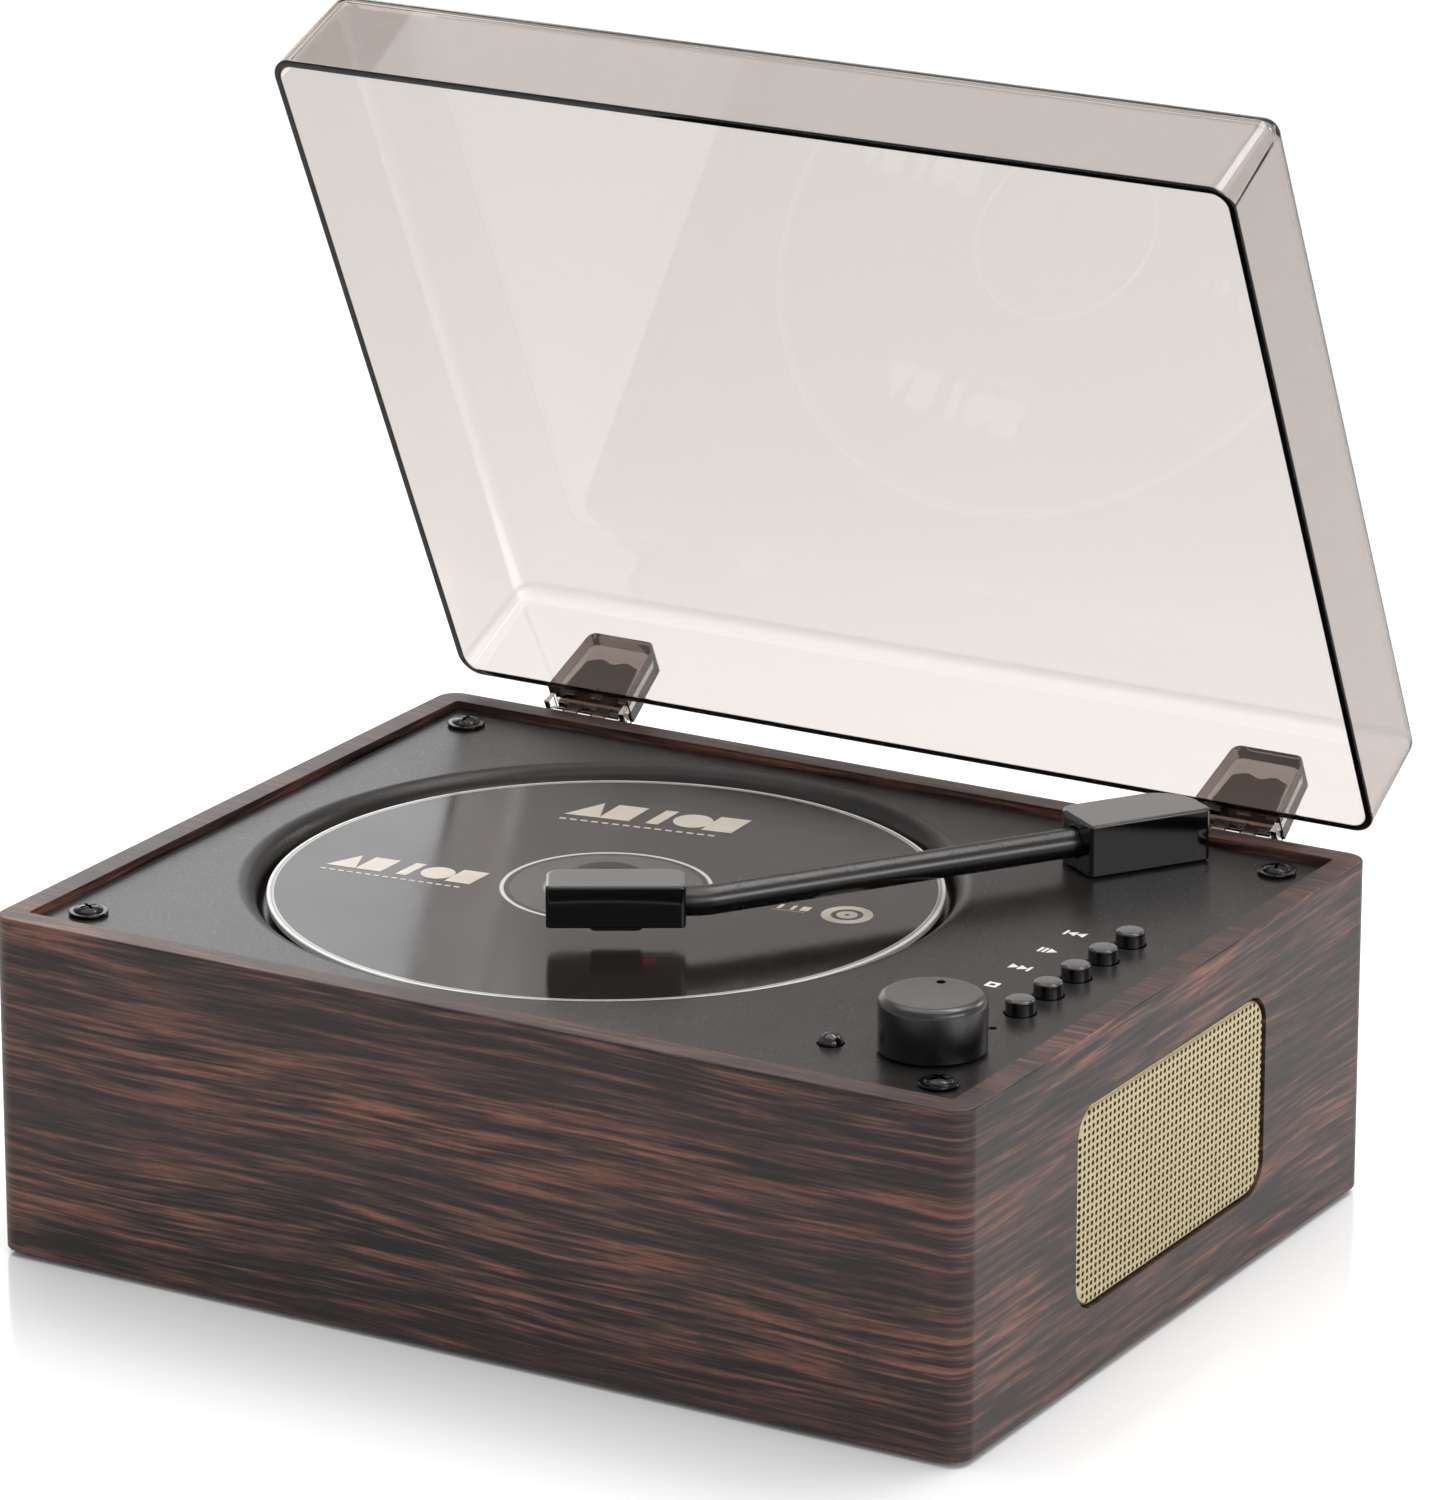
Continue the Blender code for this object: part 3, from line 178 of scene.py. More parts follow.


# %% [markdown]
# ## Wood-grain wrap
# The real case is fibreboard wrapped in a printed vinyl film that looks like dark walnut. It is
# satin, with long streaks that run round the corners, and fine pores pressed into it. The streaks are
# noise stretched along the case: long sideways, short upwards. On the top edge the streaks run from
# left to right everywhere, so the normal picks between two stretched patterns. The top faces get a
# painted sheen of pale grey, and the faces inside the walls a painted shade of near-black.

# %% Make the wrap
WRAP_IN = 4.9                           # from the outside to just before the wall's inner face
wood, tree, shader = new_finish("walnut_print_vinyl", "#402822", IOR=1.5)
shader.inputs["Specular IOR Level"].default_value = 0.35
spot = add(tree, "ShaderNodeTexCoord").outputs["Object"]
normal = add(tree, "ShaderNodeNewGeometry").outputs["Normal"]
facing = add(tree, "ShaderNodeSeparateXYZ", {"Vector": normal})
is_top = add(tree, "ShaderNodeMath", {0: facing.outputs["Z"], 1: 0.75}, operation="GREATER_THAN")
waver = grain(tree, (90, 90, 26), 1.0, source=spot)
wave = add(tree, "ShaderNodeVectorMath", {0: (0, 0, 0.006), "Scale": waver}, operation="SCALE")
waved = add(tree, "ShaderNodeVectorMath", {0: spot, 1: wave.outputs["Vector"]}, operation="ADD").outputs[0]
swapped = add(tree, "ShaderNodeSeparateXYZ", {"Vector": spot})
laid = add(tree, "ShaderNodeCombineXYZ", {"X": swapped.outputs["X"], "Y": 0.0, "Z": swapped.outputs["Y"]})
side_or_top = add(tree, "ShaderNodeMix", {"Factor": is_top.outputs["Value"], 4: waved,
                                          5: laid.outputs["Vector"]}, data_type="VECTOR")
path = side_or_top.outputs[1]
broad = grain(tree, (130, 130, 8), 2.0, source=path)
streak = grain(tree, (24, 24, 1.25), 2.0, 0.5, source=path)
fine = grain(tree, (10, 10, 0.34), 3.0, 0.65, source=path)
pores = grain(tree, (5, 5, 0.17), 1.0, source=path)
mixed = add(tree, "ShaderNodeMix", {"Factor": 0.44, 2: streak, 3: fine}, data_type="FLOAT").outputs[0]
mixed = add(tree, "ShaderNodeMix", {"Factor": 0.22, 2: mixed, 3: broad}, data_type="FLOAT").outputs[0]
browns = (0.43, "#120c0d"), (0.47, "#281c1b"), (0.50, "#432e28"), (0.535, "#5b3c31"), (0.59, "#875746")
brown = stops(add(tree, "ShaderNodeValToRGB", {"Fac": mixed}), *browns)
patch = spread(tree, grain(tree, (150, 150, 16), 1.0, source=path), 0.0, 0.7)
cooler = add(tree, "ShaderNodeMix", {"Factor": patch, 6: brown, 7: srgb("#332828")}, data_type="RGBA")
pore_dark = add(tree, "ShaderNodeMapRange", {"Value": pores, "From Min": 0.56, "From Max": 0.68,
                                             "To Min": 0.0, "To Max": 0.70}).outputs["Result"]
poured = add(tree, "ShaderNodeMix", {"Factor": pore_dark, 6: cooler.outputs[2], 7: srgb("#120b0b")},
             data_type="RGBA").outputs[2]
# painted sheen: top faces are mixed 16% towards a pale grey, standing in for the bright reflection the top
# catches at a low angle
top_sheen_share = add(tree, "ShaderNodeMath", {0: is_top.outputs["Value"], 1: 0.16}, operation="MULTIPLY")
painted_top_sheen = add(tree, "ShaderNodeMix", {"Factor": top_sheen_share.outputs[0], 6: poured, 7: srgb("#6f625f")},
            data_type="RGBA")
# painted shade: faces inside the walls are mixed three quarters of the way towards near-black, standing in
# for the shade inside the case
folded = add(tree, "ShaderNodeVectorMath", {0: spot}, operation="ABSOLUTE")
reach = add(tree, "ShaderNodeSeparateXYZ", {"Vector": folded.outputs[0]})
inner = (CASE_HIGH - Vector((WRAP_IN, WRAP_IN, 0))) * MM
in_x = add(tree, "ShaderNodeMath", {0: reach.outputs["X"], 1: inner.x}, operation="LESS_THAN")
in_y = add(tree, "ShaderNodeMath", {0: reach.outputs["Y"], 1: inner.y}, operation="LESS_THAN")
inside = add(tree, "ShaderNodeMath", {0: in_x.outputs[0], 1: in_y.outputs[0]}, operation="MULTIPLY")
painted_inner_shade = add(tree, "ShaderNodeMath", {0: inside.outputs[0], 1: 0.75}, operation="MULTIPLY")
shaded = add(tree, "ShaderNodeMix", {"Factor": painted_inner_shade.outputs[0], 6: painted_top_sheen.outputs[2],
                                     7: srgb("#1b1111")}, data_type="RGBA")
tree.links.new(shaded.outputs[2], shader.inputs["Base Color"])
tree.links.new(spread(tree, fine, 0.36, 0.48), shader.inputs["Roughness"])
bump(tree, shader, pores, -0.06, 0.5)
print("wrap:", len(tree.nodes), "nodes")


# %% [markdown]
# ## Plastics, rubber and board
# Most other parts are moulded plastic. What tells one from another is how rough the mould was and how
# much the surface waves, so one function makes them all from a grain size, a depth and two
# roughness values. A gloss part has a very faint, long wave instead of a grain.

# %% Make the moulded finishes
def moulded(name, dark, light, smooth, rough, size, depth, **plain):
    """A moulded or pressed part: size is the grain in millimetres and depth how high it stands."""
    finish, tree, shader = new_finish(name, dark, **plain)
    cloud = grain(tree, (size * 12,) * 3, 2.0)
    cell = grain(tree, (size,) * 3, 3.0)
    share = spread(tree, cloud, 0.0, 1.0)
    tint = add(tree, "ShaderNodeMix", {"Factor": share, 6: srgb(dark), 7: srgb(light)}, data_type="RGBA")
    tree.links.new(tint.outputs[2], shader.inputs["Base Color"])
    tree.links.new(spread(tree, cell, smooth, rough), shader.inputs["Roughness"])
    bump(tree, shader, cell, depth, 0.6)
    return finish


deck_abs = moulded("spark_textured_abs", "#1d1b1a", "#242221", 0.27, 0.36, 0.45, 0.012, IOR=1.42)
gloss_abs = moulded("gloss_black_abs", "#040404", "#060505", 0.08, 0.12, 9.0, 0.001, IOR=1.4,
                    Coat_Weight=1.0, Coat_IOR=1.4)
knob_abs = moulded("satin_black_abs", "#060505", "#090808", 0.28, 0.34, 3.0, 0.0002, IOR=1.4,
                    Coat_Weight=1.0, Coat_Roughness=0.24, Coat_IOR=1.4)
key_abs = moulded("polished_black_abs", "#060505", "#080707", 0.12, 0.18, 1.6, 0.0006, IOR=1.6,
                  Coat_Weight=0.5)
tube_paint = moulded("black_stove_enamel", "#050505", "#070606", 0.25, 0.30, 7.0, 0.0005, IOR=1.6)
rubber = moulded("neoprene_rubber", "#141413", "#1c1b1a", 0.70, 0.85, 0.4, 0.02, IOR=1.5)
panel_abs = moulded("matt_black_abs", "#171717", "#1c1b1b", 0.45, 0.58, 0.4, 0.02, IOR=1.5)
works_abs = moulded("moulded_polycarbonate_abs", "#1b1c1d", "#222324", 0.40, 0.52, 0.6, 0.01, IOR=1.55)
fibreboard = moulded("medium_density_fibreboard", "#8a7050", "#a08562", 0.72, 0.88, 0.5, 0.05, IOR=1.5)
cone_paper = moulded("pressed_paper_pulp", "#161616", "#202020", 0.75, 0.90, 0.35, 0.04, IOR=1.5)
white_ink = moulded("white_screen_ink", "#e9e7e2", "#f2f0ec", 0.45, 0.60, 0.3, 0.004, IOR=1.5)
cloth = moulded("black_acoustic_cloth", "#070707", "#0b0b0b", 0.85, 0.95, 0.3, 0.05, IOR=1.5)
ir_window = moulded("infrared_pass_acrylic", "#0a0505", "#0d0606", 0.03, 0.05, 3.0, 0.0005, IOR=1.6)
print("moulded finishes ready")


# %% [markdown]
# ## Metals
# Chrome plate is nearly a mirror, zinc-plated steel is duller with soft spangles, and the grille is
# aluminium sheet, blasted and anodised champagne gold. Metals take their colour from the base colour
# and keep the default IOR; only roughness and a fine grain change from one to the next.

# %% Make the metals
chrome = moulded("bright_chrome_plate", "#d9d9da", "#e2e2e3", 0.05, 0.10, 3.0, 0.001, Metallic=1.0)
zinc = moulded("zinc_plated_steel", "#9c9186", "#a99e92", 0.26, 0.34, 4.0, 0.0003, Metallic=1.0)
rod_steel = moulded("ground_steel_rod", "#b4b4b6", "#bebec0", 0.12, 0.20, 0.8, 0.002, Metallic=1.0)
black_screw = moulded("black_zinc_screw_steel", "#2e2d2d", "#3a3939", 0.08, 0.14, 1.5, 0.001, Metallic=1.0)
gold_mesh = moulded("champagne_anodised_aluminium", "#b6a984", "#c0b28d", 0.30, 0.40, 0.25, 0.002,
                    Metallic=0.9)
print("metals ready")


# %% [markdown]
# ## Smoke-tinted lid
# The lid is moulded acrylic with a little grey-brown dye. Clear plastic is a transmitting shader; its IOR
# is set lower than acrylic's own 1.49, since the real lid has a coat that keeps mirror images faint. The
# tint could be put in the base colour, but then thick and thin places would look the same; absorbing
# light inside the wall darkens the edges as the real lid does.

# %% Make the lid and lens finishes
smoke, tree, shader = new_finish("smoke_tinted_acrylic", "#ffffff", IOR=1.38, Roughness=0.015)
shader.inputs["Transmission Weight"].default_value = 1.0
tint = add(tree, "ShaderNodeVolumeAbsorption", {"Color": srgb("#dad4d0"), "Density": 800.0})
tree.links.new(tint.outputs["Volume"], tree.nodes["Material Output"].inputs["Volume"])
lens_glass, tree, shader = new_finish("coated_lens_glass", "#27345f", IOR=1.52, Roughness=0.04)
shader.inputs["Coat Weight"].default_value = 0.6
haze = spread(tree, grain(tree, (1.5, 1.5, 1.5)), 0.03, 0.08)
tree.links.new(haze, shader.inputs["Roughness"])
print("lid tint ready")


# %% [markdown]
# ## Circuit board
# The boards are glass-fibre laminate under green solder mask. Their copper tracks show as faint
# lighter lines, which a brick pattern with thin joints gives without drawing each one.

# %% Make the circuit board finish
circuit, tree, shader = new_finish("solder_mask_laminate", "#0d3a22", IOR=1.5, Roughness=0.35)
where = add(tree, "ShaderNodeTexCoord").outputs["Object"]
scaled = add(tree, "ShaderNodeMapping", {"Vector": where, "Scale": (1 / (6 * MM),) * 3})
tracks = add(tree, "ShaderNodeTexBrick", {"Vector": scaled.outputs["Vector"], "Color1": srgb("#0f4327"),
                                          "Color2": srgb("#0c3821"), "Mortar": srgb("#2c7048"),
                                          "Scale": 1.0, "Mortar Size": 0.03})
tree.links.new(tracks.outputs["Color"], shader.inputs["Base Color"])
tree.links.new(spread(tree, grain(tree, (2, 2, 2)), 0.28, 0.42), shader.inputs["Roughness"])
bump(tree, shader, tracks.outputs["Fac"], 0.03, 0.5)
print("circuit board finish ready")


# %% [markdown]
# ## Helpers for shapes
# Most pieces here are a stack of outlines joined with quads: a slab is a rounded rectangle that draws
# in at its rounded edges, and a turned part is a stack of circles. Doing both with one skin
# function keeps edges clean and rounded, with no bevel to go wrong.

# %% Turn outlines into pieces
SIDEWAYS = Matrix(((0, 0, 1), (1, 0, 0), (0, 1, 0))).to_4x4()       # local z points along +X
BACKWARDS = Matrix(((-1, 0, 0), (0, 0, 1), (0, 1, 0))).to_4x4()     # local z points along +Y
UPSIDE_DOWN = Matrix.Rotation(pi, 4, "X")
HALF_TURN = Matrix.Rotation(pi, 4, "Z")
WELD = 0.0004                           # points nearer than this become one
FLAT = 0.2                              # ring kept flat inside a rounded edge


def into_object(name, bm, matrix=None):
    """Weld, turn the faces outward, place and scale a mesh made in millimetres."""
    bmesh.ops.remove_doubles(bm, verts=bm.verts, dist=WELD)
    if matrix is not None:
        bmesh.ops.transform(bm, matrix=matrix, verts=bm.verts)
    bmesh.ops.scale(bm, vec=(MM, MM, MM), verts=bm.verts)
    bmesh.ops.recalc_face_normals(bm, faces=bm.faces)
    mesh = bpy.data.meshes.new(name)
    bm.to_mesh(mesh)
    bm.free()
    obj = bpy.data.objects.new(name, mesh)
    bpy.context.scene.collection.objects.link(obj)
    return obj


def skin(name, rings, ends="cap", matrix=None):
    """Join rings of equal count with quads; ends are capped, joined to each other, or left as poles."""
    bm = bmesh.new()
    rows = [[bm.verts.new(p) for p in ring] for ring in rings]
    pairs = list(zip(rows, rows[1:]))
    if ends == "join":
        pairs.append((rows[-1], rows[0]))
    for low, high in pairs:
        for i in range(len(low)):
            j = (i + 1) % len(low)
            bm.faces.new((low[i], low[j], high[j], high[i]))
    if ends == "cap":
        bm.faces.new(rows[0][::-1])
        bm.faces.new(rows[-1])
    return into_object(name, bm, matrix)


def arc(centre, radius, start, end, steps):
    """Points on an arc, angles in degrees."""
    turns = [radians(start + (end - start) * i / steps) for i in range(steps + 1)]
    return [(centre[0] + radius * cos(a), centre[1] + radius * sin(a)) for a in turns]


def lathe(name, profile, steps=48, at=(0, 0), matrix=None):
    """Turn a profile of (radius, height) points; it closes on the axis or on itself."""
    rings = []
    for r, z in profile:
        rings.append([(at[0] + r * cos(2 * pi * i / steps), at[1] + r * sin(2 * pi * i / steps), z)
                      for i in range(steps)])
    ends = "poles" if profile[0][0] == 0 and profile[-1][0] == 0 else "join"
    return skin(name, rings, ends, matrix)


def corner_plan(low, high, radii, inset=0.0, steps=8):
    """A rectangle's outline with a radius at each corner, anticlockwise from its low corner."""
    (x0, y0), (x1, y1) = (low[0] + inset, low[1] + inset), (high[0] - inset, high[1] - inset)
    points = []
    corners = [(x0, y0, 180), (x1, y0, 270), (x1, y1, 0), (x0, y1, 90)]
    for (x, y, start), radius in zip(corners, radii):
        r = max(radius - inset, 0.05)
        centre = (x + r if x == x0 else x - r, y + r if y == y0 else y - r)
        points += arc(centre, r, start, start + 90, steps)
    return points


def edge_steps(z0, z1, foot, head, steps=5):
    """(inset, height) pairs up a slab with a rounded edge below and above."""
    turns = [radians(90 * i / steps) for i in range(steps + 1)]
    pairs = [(0.0, z0)]
    if foot:
        pairs = [(foot + FLAT, z0)]
        pairs += [(foot - foot * sin(a), z0 + foot - foot * cos(a)) for a in turns]
    if head:
        pairs += [(head - head * cos(a), z1 - head + head * sin(a)) for a in turns]
        return pairs + [(head + FLAT, z1)]
    return pairs + [(0.0, z1)]


def slab(name, low, high, radii, z0, z1, foot=0.0, head=0.0, matrix=None, corner_steps=8):
    """A plate with rounded corners in plan and rounded edges at its foot and head."""
    if isinstance(radii, (int, float)):
        radii = (radii,) * 4
    rings = [[(x, y, z) for x, y in corner_plan(low, high, radii, inset, corner_steps)]
             for inset, z in edge_steps(z0, z1, foot, head)]
    return skin(name, rings, "cap", matrix)


def prism(name, outline, z0, z1, matrix=None):
    """A flat outline made as thick as from z0 to z1."""
    return skin(name, [[(x, y, z0) for x, y in outline], [(x, y, z1) for x, y in outline]], "cap", matrix)


print("shape helpers ready")


# %% [markdown]
# ## Helpers for cutting and dressing
# A modifier is a recipe, and a finished mesh is wanted, so each piece is settled: its
# evaluated mesh replaces the recipe. Dressing shades it smooth but keeps hard corners, evens its
# normals by face size so that flat faces stay flat, and says which body it rides on.

# %% Settle, combine and dress
def settle(obj):
    """Replace an object's mesh with what its modifiers make of it."""
    graph = bpy.context.evaluated_depsgraph_get()
    made = bpy.data.meshes.new_from_object(obj.evaluated_get(graph), preserve_all_data_layers=True,
                                           depsgraph=graph)
    obj.modifiers.clear()
    obj.data = made
    return obj


def combine(obj, operation, *others, solver="EXACT"):
    """Cut other pieces out of a piece, or fuse them to it."""
    for other in others:
        step = obj.modifiers.new(other.name, "BOOLEAN")
        step.operation = operation
        step.object = other
        step.solver = solver
    settle(obj)
    for other in others:
        bpy.data.objects.remove(other, do_unlink=True)
    return obj


def shape_up(obj, sharp=30):
    """Smooth shading with hard corners and face-weighted normals."""
    obj.data.shade_smooth()
    obj.data.set_sharp_from_angle(angle=radians(sharp))
    even = obj.modifiers.new("even_normals", "WEIGHTED_NORMAL")
    even.keep_sharp = True
    return settle(obj)


def dress(obj, finish, body, replaces=(), sharp=30):
    """Give a piece its finish, its body, and the nodes that it stands for."""
    obj.data.materials.clear()
    obj.data.materials.append(finish)
    shape_up(obj, sharp)
    obj.data.name = obj.name
    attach(obj, body)
    if replaces:
        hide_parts(*replaces)
    print(obj.name, "on", body, "faces", len(obj.data.polygons))
    return obj


def refinish(finish, *nodes):
    """Give nodes that keep their own shape a better finish."""
    for name in nodes:
        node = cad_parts[name]
        if not node.material_slots:
            node.data.materials.append(finish)
        for place in node.material_slots:
            place.material = finish


print("dressing helpers ready")


# %% [markdown]
# ## Helpers for geometry trees
# Screws, feet and grille holes repeat. A geometry tree makes each set from a few named sizes, so the
# number or spacing changes in one place. Its inputs are set by identifier before it is first run, and
# the result is taken as a plain mesh.

# %% Build and run a tree
def new_tree(name, **inputs):
    """A geometry tree with one named input for each size, given as its socket type."""
    tree = bpy.data.node_groups.new(name, "GeometryNodeTree")
    for label, kind in inputs.items():
        tree.interface.new_socket(label.replace("_", " "), in_out="INPUT", socket_type="NodeSocket" + kind)
    tree.interface.new_socket("Geometry", in_out="OUTPUT", socket_type="NodeSocketGeometry")
    return tree, tree.nodes.new("NodeGroupInput").outputs


def grow(name, tree, **values):
    """Run a tree with these values and keep what it makes as a plain mesh."""
    obj = bpy.data.objects.new(name, bpy.data.meshes.new(name))
    bpy.context.scene.collection.objects.link(obj)
    recipe = obj.modifiers.new("grow", "NODES")
    recipe.node_group = tree
    for item in tree.interface.items_tree:
        key = item.name.replace(" ", "_")
        if item.in_out == "INPUT" and key in values:
            recipe[item.identifier] = values[key]
    return settle(obj)


# A set of one shape at the corners of a rectangle, each turned by its own amount.
corners_tree, given = new_tree("shapes_at_corners", Shape="Object", Spread_X="Float", Spread_Y="Float",
                               Shift="Vector", Turn="Float", Seed="Int", Finish="Material")
grid = add(corners_tree, "GeometryNodeMeshGrid", {"Size X": given["Spread X"], "Size Y": given["Spread Y"],
                                                  "Vertices X": 2, "Vertices Y": 2})
shape = add(corners_tree, "GeometryNodeObjectInfo", {"Object": given["Shape"]})
turn = add(corners_tree, "FunctionNodeRandomValue", {2: 0.0, 3: given["Turn"], "Seed": given["Seed"]})
spun = add(corners_tree, "ShaderNodeCombineXYZ", {"Z": turn.outputs[1]})
copies = add(corners_tree, "GeometryNodeInstanceOnPoints", {"Points": grid.outputs["Mesh"],
                                                           "Instance": shape.outputs["Geometry"],
                                                           "Rotation": spun.outputs["Vector"]})
moved = add(corners_tree, "GeometryNodeTransform", {"Geometry": copies.outputs["Instances"],
                                                    "Translation": given["Shift"]})
real = add(corners_tree, "GeometryNodeRealizeInstances", {"Geometry": moved.outputs["Geometry"]})
painted = add(corners_tree, "GeometryNodeSetMaterial", {"Geometry": real.outputs["Geometry"],
                                                        "Material": given["Finish"]})
add(corners_tree, "NodeGroupOutput", {"Geometry": painted.outputs["Geometry"]})
print("corner tree:", len(corners_tree.nodes), "nodes")


# %% [markdown]
# ## The case
# The case is one ring of board with rounded corners. It could be a box with another cut from it, but
# a closed loop of outlines, up the outside, over the rim and down the inside, gives the small
# rounding of the wrapped edge all the way round. Its openings are then cut: a shallow recess and a
# round speaker hole on each side, and the panel opening behind.

# %% Make the case
WALL, WALL_R, CASE_R, EDGE, INNER_EDGE = 5.0, 0.8, 4.0, 0.45, 0.2
low, high = CASE_LOW, CASE_HIGH
outer = [(inset, z) for inset, z in edge_steps(low.z, high.z, EDGE, EDGE)][1:-1]
rings = [[(x, y, z) for x, y in corner_plan(low, high, (CASE_R,) * 4, inset, 12)] for inset, z in outer]
over = [(WALL - INNER_EDGE * cos(radians(a)), high.z - INNER_EDGE + INNER_EDGE * sin(radians(a)))
        for a in (90, 60, 30, 0)]
inside = [(WALL - INNER_EDGE, high.z)] + over[1:] + [(WALL, low.z)]
for inset, z in inside:
    wide = (low.x + inset, low.y + inset), (high.x - inset, high.y - inset)
    rings.append([(x, y, z) for x, y in corner_plan(*wide, (WALL_R + WALL - inset,) * 4, 0.0, 12)])
case = skin("wood_case", rings, "join")

grille_low, grille_high = span("grille_right")
GRILLE_Y, GRILLE_Z = (grille_low.y + grille_high.y) / 2, (grille_low.z + grille_high.z) / 2
GRILLE_GAP, RECESS, GRILLE_R = 0.4, 2.2, 6.0
half_l = (grille_high.y - grille_low.y) / 2 + GRILLE_GAP
half_h = (grille_high.z - grille_low.z) / 2 + GRILLE_GAP
SPEAKER_HOLE_R, PAST = 17.5, 2.0          # cutters reach this far past what they cut
to_side = {-1: HALF_TURN @ SIDEWAYS, 1: SIDEWAYS}
cutters = []
for side, turned in to_side.items():
    centre = side * GRILLE_Y
    cutters.append(slab("recess", (centre - half_l, GRILLE_Z - half_h), (centre + half_l, GRILLE_Z + half_h),
                        GRILLE_R, high.x - RECESS, high.x + PAST, matrix=turned, corner_steps=10))
    hole = [(0, high.x - 1), (SPEAKER_HOLE_R, high.x - 1), (SPEAKER_HOLE_R, high.x - 9), (0, high.x - 9)]
    cutters.append(lathe("speaker_hole", hole, 64, (centre, GRILLE_Z), turned))
panel_low, panel_high = span("rear_panel")
opening = (panel_low.x + 4, panel_low.z + 3), (panel_high.x - 4, panel_high.z - 3)
cutters.append(slab("panel_opening", *opening, 1.5, high.y - 8, high.y + PAST, matrix=BACKWARDS))
combine(case, "DIFFERENCE", *cutters)
dress(case, wood, "cabinet", ["cabinet_shell"])


# %% [markdown]
# ## The deck
# The deck is one moulding: a flat plate with a round dish for the disc, whose lip rolls over like the
# edge of a real platter well. The dish is a turned cutter, because only turning gives an even roll.
# Holes for the hub, the pickup, the keys and the screws are cut as well.

# %% Make the deck
disc_low, disc_high = span("disc")
DISC = (disc_low + disc_high) / 2
DISC_R = (disc_high.x - disc_low.x) / 2
WELL_R, LIP, WELL_FLOOR = DISC_R + 1.5, 4.0, disc_low.z - 2.0
PLATE_T, PAN_T, CLEAR = 2.0, 2.4, 0.3
deck = slab("deck_plate", DECK_LOW.xy, DECK_HIGH.xy, 0.8, DECK_Z - PLATE_T, DECK_Z, 0.0, 0.3)
pan = lathe("pan", [(0, DECK_Z - 1), (WELL_R + 2, DECK_Z - 1), (WELL_R + 2, WELL_FLOOR - PAN_T + 0.6),
                    (WELL_R + 1.4, WELL_FLOOR - PAN_T), (0, WELL_FLOOR - PAN_T)], 128, DISC)
combine(deck, "UNION", pan)
roll = arc((WELL_R + LIP, DECK_Z - LIP), LIP, 90, 180, 12)
hollow = arc((WELL_R - 1.2, WELL_FLOOR + 1.2), 1.2, 0, -90, 5)
profile = [(0, DECK_Z + 1), (WELL_R + LIP, DECK_Z + 1)] + roll + hollow + [(0, WELL_FLOOR)]
dish = lathe("dish", profile, 128, DISC)
combine(deck, "DIFFERENCE", dish)


def drill(name, place, radius, low_z=DECK_Z - 10, high_z=DECK_Z + 2, steps=32):
    return lathe(name, [(0, high_z), (radius, high_z), (radius, low_z), (0, low_z)], steps, place)


keys = ["button_%d" % i for i in range(1, 6)]
screws = ["deck_screw_%s_%s" % (side, end) for side in ("left", "right") for end in ("front", "back")]
KEY_R, DOME_R, STATUS_HOLE_R, STATUS_SHIFT = 2.6, 2.1, 0.75, (-0.4, -9.0)
SHAFT_HOLE_R, POST_HOLE_R, SCREW_HOLE_R = 3.3, 2.8, 1.7
status = middle("button_1").xy + Vector(STATUS_SHIFT)
drills = [drill("hub_hole", DISC, 16.5, steps=64)]
drills += [drill("key_hole", middle(key), KEY_R + CLEAR) for key in keys]
drills += [drill("screw_hole", middle(screw), SCREW_HOLE_R) for screw in screws]
drills += [drill("knob_hole", middle("volume_knob"), SHAFT_HOLE_R),
           drill("dome_hole", middle("ir_dome"), DOME_R + CLEAR),
           drill("pivot_hole", middle("pivot_post"), POST_HOLE_R),
           drill("status_hole", status, STATUS_HOLE_R)]
drills.append(slab("pickup_slot", (DISC.x - 9, DISC.y - WELL_R + 0.5), (DISC.x + 9, DISC.y - 12), 2.0,
                   WELL_FLOOR - 6, WELL_FLOOR + 2))
combine(deck, "DIFFERENCE", *drills)
dress(deck, deck_abs, "cabinet", ["deck"])


# %% [markdown]
# ## Deck screws
# Four black-plated pan-head screws hold the deck. Each has a thin flange, a low dome and a crossed
# slot. One screw is turned and cut once, and the corner tree sets four of them, each turned
# differently, as real screws are never lined up.

# %% Make the deck screws
def cross_screw(name, flange_r, dome_r, base, height, shank_r, shank_end):
    """A flanged pan-head screw with a crossed slot, on the vertical through the origin."""
    top = base + height
    crown = [(0, top)] + [(dome_r * sin(radians(a)), base + 0.45 + (height - 0.45) * cos(radians(a)))
                          for a in range(12, 91, 13)]
    body = crown + [(dome_r + 0.15, base + 0.45), (flange_r - 0.15, base + 0.42), (flange_r, base + 0.25),
                    (flange_r, base), (shank_r, base), (shank_r, shank_end + 0.8), (0, shank_end)]
    screw = lathe(name, body, 40)
    slots = [slab("slot", (-1.55, -0.3), (1.55, 0.3), 0.1, top - 0.8, top + 0.5, corner_steps=2),
             slab("slot", (-0.3, -1.55), (0.3, 1.55), 0.1, top - 0.8, top + 0.5, corner_steps=2)]
    return combine(screw, "DIFFERENCE", *slots)


screw_low, screw_high = span(screws[0])
apart_x = middle(screws[2]).x - middle(screws[0]).x
apart_y = middle(screws[1]).y - middle(screws[0]).y
master = cross_screw("screw", 3.5, 2.65, screw_high.z - 1.3, 1.3, 1.4, screw_low.z)
deck_screws = grow("deck_screw_set", corners_tree, Shape=master, Spread_X=apart_x * MM,
                   Spread_Y=apart_y * MM, Shift=(0, 0, 0), Turn=1.5, Seed=4, Finish=black_screw)
bpy.data.objects.remove(master, do_unlink=True)
dress(deck_screws, black_screw, "cabinet", screws)


